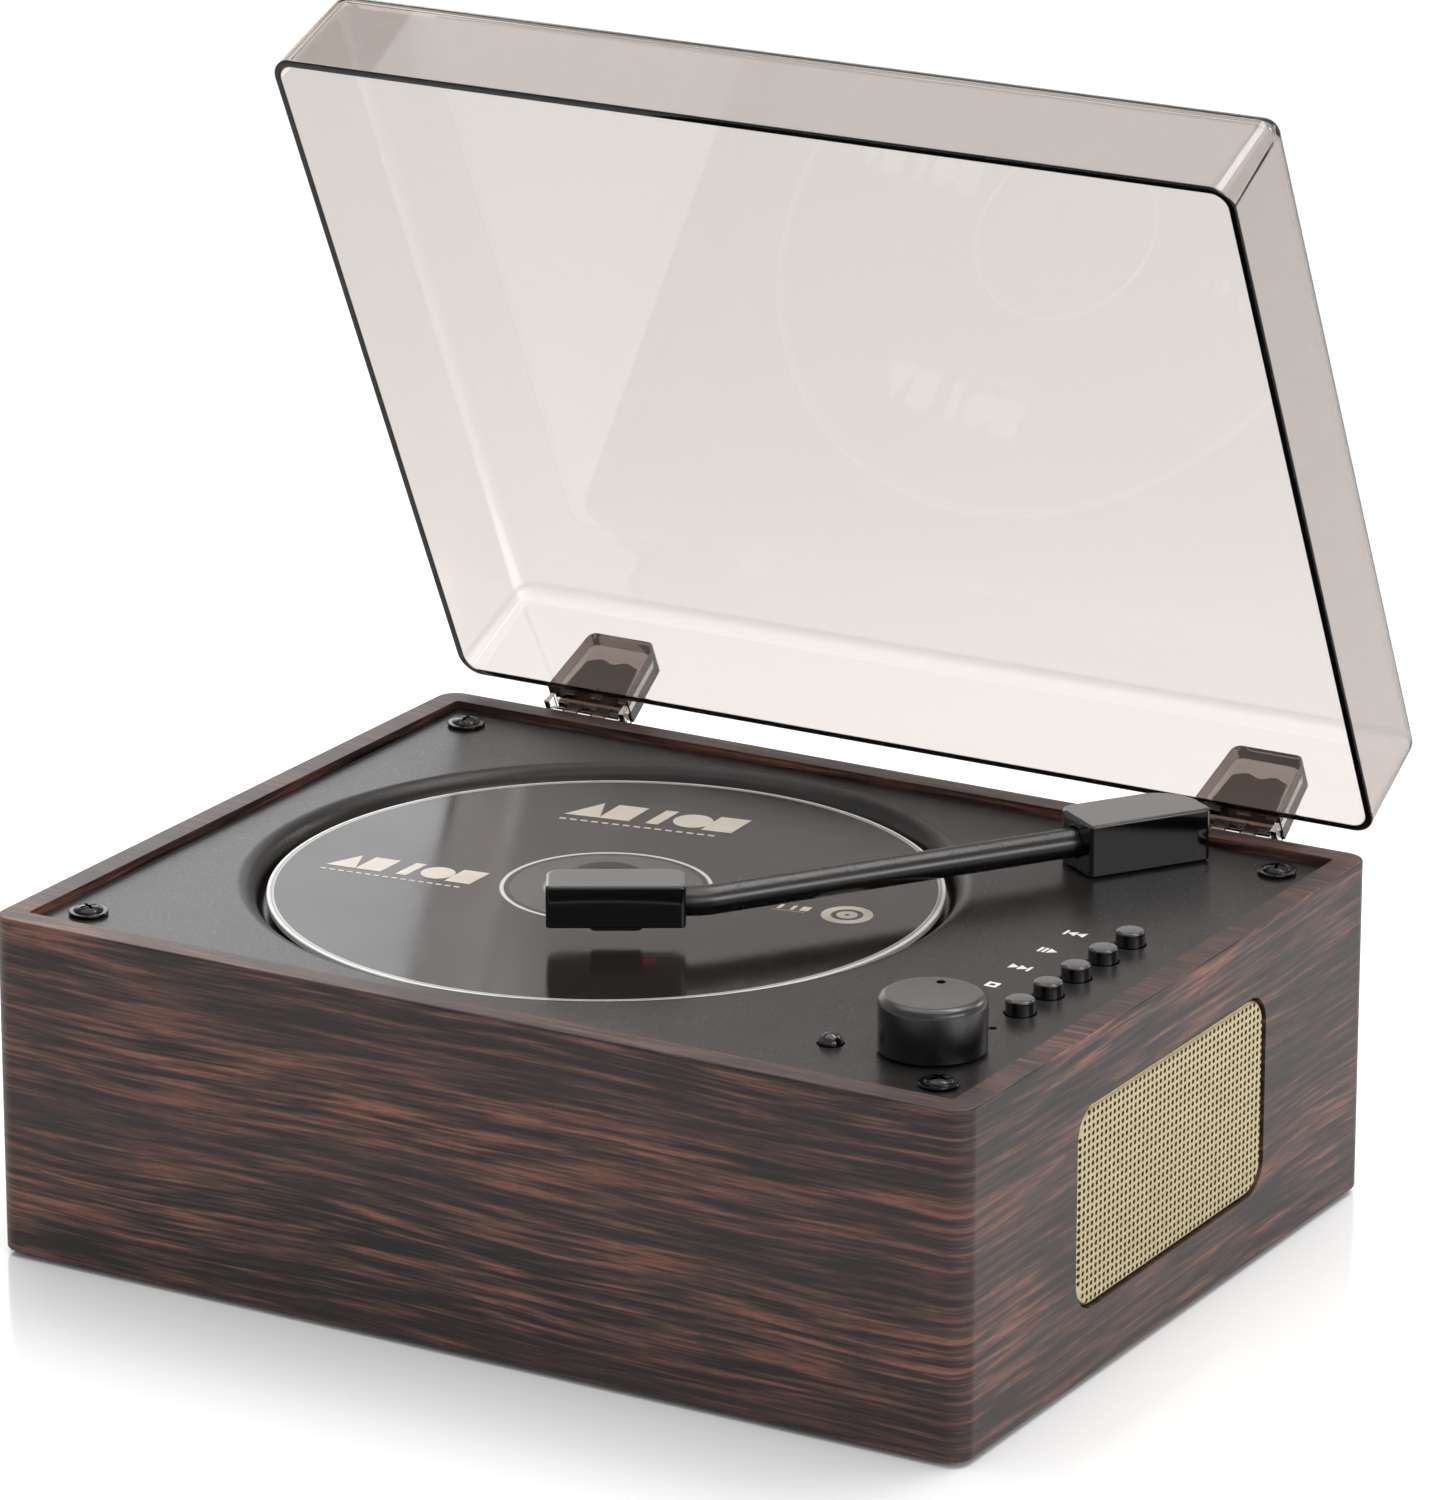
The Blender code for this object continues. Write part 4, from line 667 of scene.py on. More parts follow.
# %% [markdown]
# ## Speaker grilles
# Each grille is a pressed aluminium tray, perforated in a close staggered pattern and folded round
# its edge. Drawing the holes in the material would leave flat dots, so the tree cuts them: it lays a
# grid of points, shifts every second row by half a pitch, keeps those inside the rounded outline,
# and takes a small prism out of the plate at each.

# %% Build the perforation tree
pierce, given = new_tree("perforated_plate", Plate="Object", Hole_Radius="Float", Pitch="Float",
                         Row_Pitch="Float", Columns="Int", Rows="Int", Half_Length="Float",
                         Half_Height="Float", Corner="Float", Finish="Material")
width = add(pierce, "ShaderNodeMath", {0: given["Columns"], 1: given["Pitch"]}, operation="MULTIPLY")
rise = add(pierce, "ShaderNodeMath", {0: given["Rows"], 1: given["Row Pitch"]}, operation="MULTIPLY")
points = add(pierce, "GeometryNodeMeshGrid", {"Size X": width.outputs[0], "Size Y": rise.outputs[0],
                                              "Vertices X": given["Columns"], "Vertices Y": given["Rows"]})
number = add(pierce, "GeometryNodeInputIndex")
row = add(pierce, "ShaderNodeMath", {0: number.outputs[0], 1: given["Rows"]}, operation="MODULO")
odd = add(pierce, "ShaderNodeMath", {0: row.outputs[0], 1: 2.0}, operation="MODULO")
half_odd = add(pierce, "ShaderNodeMath", {0: odd.outputs[0], 1: 0.5}, operation="SUBTRACT")
sideways = add(pierce, "ShaderNodeMath", {0: half_odd.outputs[0], 1: given["Pitch"]}, operation="MULTIPLY")
shift = add(pierce, "ShaderNodeCombineXYZ", {"X": sideways.outputs[0]})
staggered = add(pierce, "GeometryNodeSetPosition", {"Geometry": points.outputs["Mesh"],
                                                    "Offset": shift.outputs[0]})
at = add(pierce, "GeometryNodeInputPosition")
size = add(pierce, "ShaderNodeCombineXYZ", {"X": given["Half Length"], "Y": given["Half Height"]})
corner = add(pierce, "ShaderNodeCombineXYZ", {"X": given["Corner"], "Y": given["Corner"]})
core = add(pierce, "ShaderNodeVectorMath", {0: size.outputs[0], 1: corner.outputs[0]}, operation="SUBTRACT")
folded = add(pierce, "ShaderNodeVectorMath", {0: at.outputs[0]}, operation="ABSOLUTE")
past = add(pierce, "ShaderNodeVectorMath", {0: folded.outputs[0], 1: core.outputs[0]}, operation="SUBTRACT")
beyond = add(pierce, "ShaderNodeVectorMath", {0: past.outputs[0], 1: (0, 0, 0)}, operation="MAXIMUM")
reach = add(pierce, "ShaderNodeVectorMath", {0: beyond.outputs[0]}, operation="LENGTH")
kept = add(pierce, "FunctionNodeCompare", {"A": reach.outputs["Value"], "B": given["Corner"]},
           operation="LESS_THAN")
punch = add(pierce, "GeometryNodeMeshCylinder", {"Vertices": 10, "Radius": given["Hole Radius"],
                                                 "Depth": 0.02})
punches = add(pierce, "GeometryNodeInstanceOnPoints", {"Points": staggered.outputs[0],
                                                       "Selection": kept.outputs[0],
                                                       "Instance": punch.outputs["Mesh"]})
solid = add(pierce, "GeometryNodeRealizeInstances", {"Geometry": punches.outputs[0]})
blank = add(pierce, "GeometryNodeObjectInfo", {"Object": given["Plate"]})
cut = add(pierce, "GeometryNodeMeshBoolean", {0: blank.outputs["Geometry"], 1: solid.outputs["Geometry"]},
          operation="DIFFERENCE", solver="MANIFOLD")
finished = add(pierce, "GeometryNodeSetMaterial", {"Geometry": cut.outputs["Mesh"],
                                                   "Material": given["Finish"]})
add(pierce, "NodeGroupOutput", {"Geometry": finished.outputs["Geometry"]})
print("perforation tree:", len(pierce.nodes), "nodes")

# %% Cut both grilles
PITCH, ROW_PITCH, HOLE_R, FOLD, MARGIN = 1.5, 1.3, 0.47, 1.0, 0.65
PLATE_R = GRILLE_R - GRILLE_GAP
VEIL_IN, VEIL_T, VEIL_BACK = 1.0, 0.18, 0.25
for side, word in ((-1, "left"), (1, "right")):
    low, high = span("grille_" + word)
    half_l, half_h = (high.y - low.y) / 2, (high.z - low.z) / 2
    depth = high.x - low.x
    blank_plate = slab("blank", (-half_l, -half_h), (half_l, half_h), PLATE_R, 0, depth, 0.0, FOLD,
                       corner_steps=10)
    plate = grow("grille_plate_" + word, pierce, Plate=blank_plate, Hole_Radius=HOLE_R * MM,
                 Pitch=PITCH * MM, Row_Pitch=ROW_PITCH * MM, Columns=48, Rows=28,
                 Half_Length=(half_l - MARGIN) * MM, Half_Height=(half_h - MARGIN) * MM,
                 Corner=(PLATE_R - MARGIN) * MM, Finish=gold_mesh)
    bpy.data.objects.remove(blank_plate, do_unlink=True)
    inner_x = low.x if side > 0 else high.x
    back = Vector((inner_x, GRILLE_Y, GRILLE_Z))
    plate.data.transform(Matrix.Translation(back * MM) @ to_side[side])
    dress(plate, gold_mesh, "cabinet", ["grille_" + word], 40)
    veil = slab("grille_cloth_" + word, (VEIL_IN - half_l, VEIL_IN - half_h),
                (half_l - VEIL_IN, half_h - VEIL_IN), 4.0, 0.0, VEIL_T)
    back.x -= side * VEIL_BACK
    veil.data.transform(Matrix.Translation(back * MM) @ to_side[side])
    dress(veil, cloth, "cabinet")


# %% [markdown]
# ## The disc
# A disc is 1.2 mm of polycarbonate, silvered and printed on top. Its look is all in rings: a clear
# middle, a white ring where the print starts, the brown-grey print, and a bare silver rim. The rings
# come from the distance to the disc's centre through a ramp with hard steps, so that they stay crisp
# at any size. The disc itself is turned, with its edges just broken.

# %% Make the disc finish
disc_finish, tree, shader = new_finish("printed_polycarbonate_disc", "#221d1c", IOR=1.32, Roughness=0.16)
spot = add(tree, "ShaderNodeTexCoord").outputs["Object"]
centred = add(tree, "ShaderNodeMapping", {"Vector": spot, "Location": (-DISC.x * MM, -DISC.y * MM, 0)})
flat = add(tree, "ShaderNodeVectorMath", {0: centred.outputs[0], 1: (1, 1, 0)}, operation="MULTIPLY")
far = add(tree, "ShaderNodeVectorMath", {0: flat.outputs[0]}, operation="LENGTH")
share = add(tree, "ShaderNodeMath", {0: far.outputs["Value"], 1: 1 / (DISC_R * MM)}, operation="MULTIPLY")
radius_steps = [
    (0.0, "#605e5b"), (10.7, "#605e5b"), (10.8, "#a7a5a0"), (11.3, "#565452"), (17.1, "#4e4c4a"),
    (17.2, "#1c1a19"), (18.2, "#242120"), (18.3, "#dedad3"), (18.85, "#d5d1ca"), (18.95, "#272221"),
    (38.0, "#241f1e"), (58.7, "#1f1b1a"), (58.8, "#c4c2be"), (59.2, "#4b4846"), (59.45, "#dddbd8")]
ring_ramp = add(tree, "ShaderNodeValToRGB", {"Fac": share.outputs["Value"]})
ring_colour = stops(ring_ramp, *[(r / DISC_R, colour) for r, colour in radius_steps])
tree.links.new(ring_colour, shader.inputs["Base Color"])
wave = spread(tree, grain(tree, (25, 25, 25)), 0.12, 0.19)
tree.links.new(wave, shader.inputs["Roughness"])
bump(tree, shader, grain(tree, (14, 14, 14)), 0.01, 0.25)
print("disc rings:", len(radius_steps))

# %% Turn the disc
bore = 7.5
lathed = [(bore, disc_low.z + 0.15), (bore, disc_high.z - 0.15), (bore + 0.15, disc_high.z),
          (DISC_R - 0.15, disc_high.z), (DISC_R, disc_high.z - 0.15), (DISC_R, disc_low.z + 0.15),
          (DISC_R - 0.15, disc_low.z), (bore + 0.15, disc_low.z)]
disc = lathe("label_disc", lathed, 160, DISC)
dress(disc, disc_finish, "spindle", ["disc"])


# %% [markdown]
# ## Print on the disc
# The label carries plain marks instead of words: rows of upright bars like a level meter, a thin rule
# under them, and a small ringed dot. They are a few hundredths of a millimetre of ink, so each
# is a thin solid lying on the disc.

# %% Make the print
label_ink = moulded("cream_label_ink", "#cfc7b8", "#d8d0c2", 0.30, 0.42, 0.5, 0.004, IOR=1.5)
INK = 0.04


def join_all(name, parts):
    """Put several meshes into one object."""
    bm = bmesh.new()
    for part in parts:
        bm.from_mesh(part.data)
        bpy.data.objects.remove(part, do_unlink=True)
    mesh = bpy.data.meshes.new(name)
    bm.to_mesh(mesh)
    bm.free()
    obj = bpy.data.objects.new(name, mesh)
    bpy.context.scene.collection.objects.link(obj)
    return obj


def mark(low, high, radius, matrix, top):
    return slab("mark", low, high, radius, top, top + INK, matrix=matrix, corner_steps=2)


def mark_shape(kind, size, x):
    """The outline of one plain sign, in a square of the given size that starts at x."""
    if kind == "bar":
        return [(x + size * 0.3, 0), (x + size * 0.6, 0), (x + size * 0.75, size), (x + size * 0.45, size)]
    if kind == "wedge":
        return [(x, 0), (x + size * 0.85, 0), (x + size * 0.6, size)]
    if kind == "block":
        return [(x, 0), (x + size * 0.72, 0), (x + size * 0.85, size), (x + size * 0.13, size)]
    return [(x + size * 0.45 + px, size * 0.5 + py) for px, py in arc((0, 0), size * 0.46, 0, 345, 23)]


def sign_row(at, angle, kinds, size, step, top):
    """A row of bold plain signs over a fine dashed rule."""
    place = Matrix.Translation((at[0], at[1], 0)) @ Matrix.Rotation(radians(angle), 4, "Z")
    parts = [prism("mark", mark_shape(kind, size, i * step), top, top + INK, place)
             for i, kind in enumerate(kinds)]
    length = step * len(kinds) - 1
    dash = size * 0.16
    count = int(length / dash / 1.6)
    parts += [mark((i * dash * 1.6, -size * 0.36), (i * dash * 1.6 + dash, -size * 0.28), 0.04, place, top)
              for i in range(count)]
    return parts


def ring_mark(at, outer, inner, top):
    return lathe("mark", [(inner, top + INK), (outer, top + INK), (outer, top), (inner, top)], 40, at)


top = disc_high.z + 0.005
centre = DISC.xy
row = ("wedge", "block", "bar", "round", "block")
marks = sign_row(centre + Vector((-27.5, 31.0)), 10, row, 8.0, 6.6, top)
marks += sign_row(centre + Vector((-49.5, -14.6)), 7, row, 6.8, 5.8, top)
badge = centre + Vector((44.2, 8.2))
marks += [ring_mark(badge, 4.6, 2.9, top), ring_mark(badge, 1.9, 0.5, top)]
marks += sign_row(centre + Vector((31.0, 5.0)), 12, ("bar", "bar", "block"), 2.2, 2.4, top)
print_on_disc = join_all("disc_print", marks)
dress(print_on_disc, label_ink, "spindle")


# %% [markdown]
# ## The hub
# The disc snaps over a turned boss with three spring balls, and rests on a wide flange beneath. The
# boss is hollow at the top. It is turned from one profile, and the balls are half sunk in its side.

# %% Make the hub
hub_low, hub_high = span("spindle_hub")
HUB_R, BOSS_R, SHAFT_R = 15.0, 7.2, 1.0
seat, under, top = disc_low.z - 0.3, WELL_FLOOR - PAN_T + 1.0, hub_high.z
rounded_top = [(5.0, top)] + [(5.0 + 2.2 * sin(radians(a)), top - 1.6 + 1.6 * cos(radians(a)))
                              for a in range(15, 91, 15)]
profile = ([(0, top - 1.4), (1.9, top - 1.4), (2.1, top - 1.2), (2.1, top - 0.25), (2.4, top)] + rounded_top
           + [(BOSS_R, seat + 0.3), (BOSS_R + 0.3, seat), (HUB_R - 0.3, seat), (HUB_R, seat - 0.3),
              (HUB_R, under), (SHAFT_R, under), (SHAFT_R, hub_low.z), (0, hub_low.z)])
hub = lathe("hub_cap", profile, 72, DISC)
dress(hub, works_abs, "spindle", ["spindle_hub"])
BALL_R, BALL_OUT, ball_z = 0.95, 6.35, disc_high.z + 0.75
side_view = [(BALL_R * sin(radians(a)), ball_z + BALL_R * cos(radians(a))) for a in range(15, 166, 15)]
side_view = [(0, ball_z + BALL_R)] + side_view + [(0, ball_z - BALL_R)]
balls = []
for turn in (radians(50), radians(170), radians(290)):
    seat_at = (DISC.x + BALL_OUT * cos(turn), DISC.y + BALL_OUT * sin(turn))
    balls.append(lathe("ball", side_view, 20, seat_at))
hub_balls = join_all("hub_balls", balls)
dress(hub_balls, chrome, "spindle")


# %% [markdown]
# ## The tonearm
# The arm is for show and turns on its post: a gloss block, an enamelled tube with one bend, and a
# headshell. Block and head are slabs whose four corners have different radii, so they are made in
# the arm's own frame, lengthwise along X, and then turned into place as a mesh.

# %% Make the block and the head
pivot = middle("pivot_post")
ARM_ANGLE, BEND = 56.0, 25.5
BLOCK_FRONT, BLOCK_L, BLOCK_W = 13.0, 24.3, 13.0
HEAD_L, HEAD_W = 24.3, 10.2
RUN, BEND_R, SHIFT, SOCKET, PIPE_R = 70.4, 12.0, -0.5, 4.0, 2.65
tube_low, tube_high = span("arm_tube")
line_z = (tube_low.z + tube_high.z) / 2
arm_frame = Matrix.Translation((pivot.x, pivot.y, 0)) @ Matrix.Rotation(radians(ARM_ANGLE), 4, "Z")
bend_end = arc((-BLOCK_FRONT - RUN, SHIFT + BEND_R), BEND_R, 270, 270 - BEND, 1)[-1]
head_frame = arm_frame @ Matrix.Translation((*bend_end, 0)) @ Matrix.Rotation(radians(-BEND), 4, "Z")
along = Matrix.Translation((0, 0, line_z)) @ SIDEWAYS


def socket(name, x0, x1, y, radius, frame_matrix):
    """A round cutter along the arm's length."""
    return lathe(name, [(0, x0), (radius, x0), (radius, x1), (0, x1)], 40, (y, 0), frame_matrix @ along)


block_low, block_high = span("arm_base")
block = slab("arm_block", (-BLOCK_FRONT, -BLOCK_W / 2), (BLOCK_L - BLOCK_FRONT, BLOCK_W / 2),
             (0.8, 1.2, 8.0, 3.0), block_low.z, block_high.z, 0.3, 0.5, arm_frame, 14)
bore = drill("pivot_bore", pivot, POST_HOLE_R, block_low.z - 1, DECK_Z + 6.5)
hold = socket("block_socket", -BLOCK_FRONT - PAST, -BLOCK_FRONT + SOCKET, SHIFT, PIPE_R + CLEAR, arm_frame)
combine(block, "DIFFERENCE", bore, hold)
dress(block, gloss_abs, "tonearm", ["arm_base"])

head_low, head_high = span("headshell")
head = slab("arm_head", (-HEAD_L, -HEAD_W / 2), (0, HEAD_W / 2), (1.0, 1.0, 3.2, 3.2), head_low.z,
            head_high.z, 0.3, 0.5, head_frame, 10)
combine(head, "DIFFERENCE", socket("head_socket", -SOCKET, PAST, 0.0, PIPE_R + CLEAR, head_frame))
dress(head, gloss_abs, "tonearm", ["headshell"])
foot_low, foot_high = span("stylus_foot")
foot_x = -HEAD_L / 2
foot = slab("arm_foot", (foot_x - 4.5, -2.5), (foot_x + 4.5, 2.5), 1.0, foot_low.z, foot_high.z, 0.3, 0.1,
            head_frame)
dress(foot, rubber, "tonearm", ["stylus_foot"])
lamp_glow, tree, shader = new_finish("red_indicator_lens", "#7a0d08", IOR=1.5, Roughness=0.2)
shader.inputs["Emission Color"].default_value = srgb("#ff2a12")
shader.inputs["Emission Strength"].default_value = 0.4
lamp = slab("arm_lamp", (-8.2, -1.2), (-5.2, 1.2), 0.6, head_low.z - 0.35, head_low.z - 0.02, 0.15, 0.0,
            head_frame, 4)
dress(lamp, lamp_glow, "tonearm")

# %% [markdown]
# ## The arm tube
# The tube is a circle carried along a path: straight, then a bend. A curve with a bevel would do it,
# but writing the rings gives exact ends inside both sockets and a plain closed mesh.

# %% Sweep the tube
path = [(-BLOCK_FRONT + SOCKET - CLEAR, SHIFT, 0.0), (-BLOCK_FRONT - RUN * 0.5, SHIFT, 0.0)]
path += [(x, y, -BEND * i / 14) for i, (x, y) in
         enumerate(arc((-BLOCK_FRONT - RUN, SHIFT + BEND_R), BEND_R, 270, 270 - BEND, 14))]
last = SOCKET - CLEAR
path.append((path[-1][0] - last * cos(radians(BEND)), path[-1][1] + last * sin(radians(BEND)), -BEND))
rings = []
round_it = arc((0, 0), PIPE_R, 0, 352.5, 47)
for x, y, heading in path:
    side_x, side_y = -sin(radians(heading)), cos(radians(heading))
    rings.append([(x + side_x * r, y + side_y * r, line_z + h) for r, h in round_it])
pipe = skin("arm_pipe", rings, "cap", arm_frame)
dress(pipe, tube_paint, "tonearm", ["arm_tube"])


# %% [markdown]
# ## Knob, keys and infrared window
# These are turned parts. The knob has a softly rounded top edge that catches the light and a small
# round dimple as its pointer; each key is a short plunger with a flange below the deck that stops it
# falling out. They are turned from profiles because a bevelled cylinder has no flange or bore.

# %% Make the knob
knob_low, knob_high = span("volume_knob")
knob_at = (knob_low + knob_high) / 2
KNOB_R = (knob_high.x - knob_low.x) / 2
SOFT, BORE_R, SOCKET_TOP = 1.6, SHAFT_HOLE_R, DECK_Z + 7.0
edge = [(KNOB_R - SOFT + SOFT * sin(radians(a)), knob_high.z - SOFT + SOFT * cos(radians(a)))
        for a in range(0, 91, 10)]
profile = [(0, knob_high.z - 0.12), (KNOB_R * 0.55, knob_high.z - 0.06)] + edge + [
    (KNOB_R, knob_low.z + 0.3), (KNOB_R - 0.3, knob_low.z), (BORE_R, knob_low.z), (BORE_R, SOCKET_TOP),
    (0, SOCKET_TOP)]
knob = lathe("dial", profile, 96, knob_at)
POINTER_R, POINTER_OUT, POINTER_TURN = 0.8, 5.7, 105.0
pointer_at = Vector((knob_at.x + POINTER_OUT * cos(radians(POINTER_TURN)),
                     knob_at.y + POINTER_OUT * sin(radians(POINTER_TURN))))
top = knob_high.z
dimple = lathe("dimple", [(0, top + 0.6), (POINTER_R, top + 0.6), (POINTER_R, top - 0.2),
                          (POINTER_R * 0.9, top - 0.9), (0, top - 1.0)], 32, pointer_at)
combine(knob, "DIFFERENCE", dimple)
dress(knob, knob_abs, "knob", ["volume_knob"])

# %% Make the keys and the window
KEY_SOFT = 0.45
for i, name in enumerate(keys):
    low, high = span(name)
    at = (low + high) / 2
    flange_top = DECK_Z - PLATE_T - CLEAR
    rounding = arc((KEY_R - KEY_SOFT, high.z - KEY_SOFT), KEY_SOFT, 90, 0, 6)
    flange_low = flange_top - 1.2
    profile = [(0, high.z - 0.05)] + rounding + [
        (KEY_R, flange_top), (KEY_R + 1, flange_top), (KEY_R + 1, flange_low), (1.2, flange_low),
        (1.2, low.z), (0, low.z)]
    key = lathe("key_cap_%d" % (i + 1), profile, 56, at)
    dress(key, key_abs, "key_%d" % (i + 1), [name])

dome_low, dome_high = span("ir_dome")
dome_at = (dome_low + dome_high) / 2
DOME_RISE = 1.9
round_top = [(DOME_R * sin(radians(a)), dome_high.z - DOME_RISE + DOME_RISE * cos(radians(a)))
             for a in range(0, 91, 9)]
dome = lathe("infrared_dome", round_top + [(DOME_R, dome_low.z), (0, dome_low.z)], 48, dome_at)
dress(dome, ir_window, "cabinet", ["ir_dome"])


# %% [markdown]
# ## Key symbols
# The usual transport symbols are printed in white beside the keys: stop, next, play-pause and
# previous. They are generic signs. Each is cut as a thin flat outline, which prints crisply.

# %% Print the symbols
SIGN, BAR_W, THICK = 2.3, 0.55, 0.03
sign_x = middle("button_1").x - 10.7


def triangle(x, y, point):
    """A triangle that points to +X when point is 1 and to -X when it is -1."""
    tip = x + SIGN * 0.75 if point > 0 else x
    back = x if point > 0 else x + SIGN * 0.75
    return [(back, y - SIGN / 2), (tip, y), (back, y + SIGN / 2)]


def upright(x, y):
    return [(x, y - SIGN / 2), (x + BAR_W, y - SIGN / 2), (x + BAR_W, y + SIGN / 2), (x, y + SIGN / 2)]


def sign_parts(outlines):
    return [prism("sign", outline, DECK_Z + 0.005, DECK_Z + THICK) for outline in outlines]


stop_y, next_y, play_y, back_y = [middle(keys[0]).y + 10.0 + 10.0 * i for i in range(4)]


def square(name, half, z0, z1):
    low, high = (sign_x - half, stop_y - half), (sign_x + half, stop_y + half)
    return slab(name, low, high, 0.1, z0, z1, corner_steps=2)


stop_sign = square("sign", SIGN / 2, DECK_Z + 0.005, DECK_Z + THICK)
combine(stop_sign, "DIFFERENCE", square("hole", 0.5, DECK_Z - 1, DECK_Z + 1))
signs = [stop_sign]
wide = SIGN * 0.75
left = sign_x - 2.0
signs += sign_parts([triangle(left, next_y, 1), triangle(left + wide, next_y, 1),
                     upright(left + 2 * wide, next_y)])
signs += sign_parts([upright(sign_x - 1.7, play_y), upright(sign_x - 0.8, play_y),
                     triangle(sign_x + 0.1, play_y, 1)])
signs += sign_parts([upright(left, back_y), triangle(left + BAR_W, back_y, -1),
                     triangle(left + BAR_W + wide, back_y, -1)])
symbols = join_all("key_symbols", signs)
dress(symbols, white_ink, "cabinet")


# %% [markdown]
# ## The lid
# The lid is a shallow cup, slightly drafted so that it leaves its mould, with a soft edge round its
# top. It is made shut, because its rim is level there, as outlines over the outside and back up the
# inside. The hinge pockets are fused to its rear wall, and the whole is then turned open.

# %% Make the lid
pin_low, pin_high = span("hinge_pin_left")
AXIS = (pin_low + pin_high) / 2
LID_OPEN = 64.5
LID_W, LID_D, LID_H, LID_WALL, LID_GAP = 191.4, 145.5, 23.2, 1.5, 0.4
LID_R, LID_TOP_R, DRAFT = 4.5, 3.8, 1.0
lid_rim, lid_back = RIM_Z + LID_GAP, CASE_HIGH.y - 1.0
hinge_line = Vector((0, AXIS.y, AXIS.z))
opened = (Matrix.Translation(hinge_line) @ Matrix.Rotation(radians(-LID_OPEN), 4, "X")
          @ Matrix.Translation(-hinge_line))
opened_m = Matrix.Scale(MM, 4) @ opened @ Matrix.Scale(1 / MM, 4)    # the same turn for metres


def outer_rings(top_z, top_r, rim_lip):
    """Outlines from the middle of the top down to the rim."""
    low, high = (-LID_W / 2, lid_back - LID_D), (LID_W / 2, lid_back)
    steps = [(DRAFT + top_r + 0.3, top_z)]
    for i in range(9):
        turn = radians(90 - 90 * i / 8)
        steps.append((DRAFT + top_r - top_r * cos(turn), top_z - top_r + top_r * sin(turn)))
    for turn in (0, radians(30), radians(60), radians(90)):
        steps.append((rim_lip * (1 - cos(turn)), lid_rim + rim_lip * (1 - sin(turn))))
    return [[(x, y, z) for x, y in corner_plan(low, high, (LID_R,) * 4, drawn, 12)] for drawn, z in steps]


def inner_rings():
    """Outlines from the rim back up the inside, a wall's thickness further in."""
    low = (-LID_W / 2 + LID_WALL, lid_back - LID_D + LID_WALL)
    high = (LID_W / 2 - LID_WALL, lid_back - LID_WALL)
    top_z, top_r = lid_rim + LID_H - LID_WALL, LID_TOP_R - LID_WALL
    steps = [(-0.3, lid_rim), (-0.1, lid_rim + 0.1), (0.0, lid_rim + 0.3)]
    for i in range(7):
        turn = radians(90 * i / 6)
        steps.append((DRAFT + top_r - top_r * cos(turn), top_z - top_r + top_r * sin(turn)))
    steps.append((DRAFT + top_r + 0.3, top_z))
    return [[(x, y, z) for x, y in corner_plan(low, high, (LID_R - LID_WALL,) * 4, drawn, 12)]
            for drawn, z in steps]


lid = skin("lid_cover", outer_rings(lid_rim + LID_H, LID_TOP_R, 0.4) + inner_rings(), "cap")
print("lid shut:", len(lid.data.vertices), "vertices")

# %% [markdown]
# ## Hinge pockets
# A pocket is a tapered block on the rear wall, with rounded upper corners, hollowed from below so
# that the hinge leaf slides in. Its cheeks run a little below the rim, outside the case's back.

# %% Fuse the pockets
HINGE_X = abs(AXIS.x)
HINGE_W, POCKET_WALL, POCKET_H, POCKET_T, TAPER, CHEEK = 15.0, 1.2, 15.0, 5.2, 1.5, 2.4
half = HINGE_W / 2 + POCKET_WALL
LEAF_SLOT, leaf_y = 1.3, AXIS.y - 1.35          # the leaf stands this far in front of the pin


def pocket_outline(wide, height, foot, radius):
    """Half widths at the rim and the top, the height, how far below the rim, and the corner radius."""
    top = wide - TAPER
    left = arc((-top + radius, height - radius), radius, 174, 90, 6)
    right = arc((top - radius, height - radius), radius, 90, 6, 6)
    return [(-wide, foot)] + left + right + [(wide, foot)]


for side in (-1, 1):
    place = Matrix.Translation((side * HINGE_X, 0, lid_rim)) @ BACKWARDS
    rear = lid_back + POCKET_T
    body = prism("pocket", pocket_outline(half, POCKET_H, 0.0, 1.7)[::-1], lid_back - 0.9, rear, place)
    low_part = pocket_outline(half, POCKET_H * 0.5, -CHEEK, 0.3)[::-1]
    cheeks = prism("cheeks", low_part, lid_back + 1.3, rear, place)
    combine(lid, "UNION", body, cheeks)
    room = pocket_outline(half - POCKET_WALL + CLEAR, POCKET_H - 1.4, -CHEEK - 3, 1.5)[::-1]
    hollow = prism("hollow", room, leaf_y - LEAF_SLOT / 2, leaf_y + LEAF_SLOT / 2, place)
    combine(lid, "DIFFERENCE", hollow)
    trim = slab("trim", (-half + POCKET_WALL, -CHEEK - 3), (half - POCKET_WALL, 0.0), 0.2,
                lid_back + POCKET_WALL, rear + PAST, matrix=place, corner_steps=2)
    combine(lid, "DIFFERENCE", trim)
lid.data.transform(opened_m)
dress(lid, smoke, "lid", ["lid"])


# %% [markdown]
# ## Hinges
# A butt hinge is stamped sheet: each leaf's fingers are rolled round the pin, the two leaves taking
# turns. The roll is a bent strip, so a strip of even thickness is drawn along its bend in side view
# and then made as wide as each finger. The lid's leaf has a wavy upper edge.

# %% Make the hinge leaves
SHEET, KNUCKLE_R, KNUCKLES = 0.5, 1.6, 5
RUN_R = KNUCKLE_R - SHEET / 2
FINGER_GAP = 0.15


def strip(centre_line, thick):
    """The outline of a bent strip, from its centre line in the (y, z) plane."""
    left, right = [], []
    for i, (y, z) in enumerate(centre_line):
        a = Vector(centre_line[max(i - 1, 0)])
        b = Vector(centre_line[min(i + 1, len(centre_line) - 1)])
        along_it = (b - a).normalized()
        off = Vector((-along_it.y, along_it.x)) * thick / 2
        left.append((y + off.x, z + off.y))
        right.append((y - off.x, z - off.y))
    return left + right[::-1]


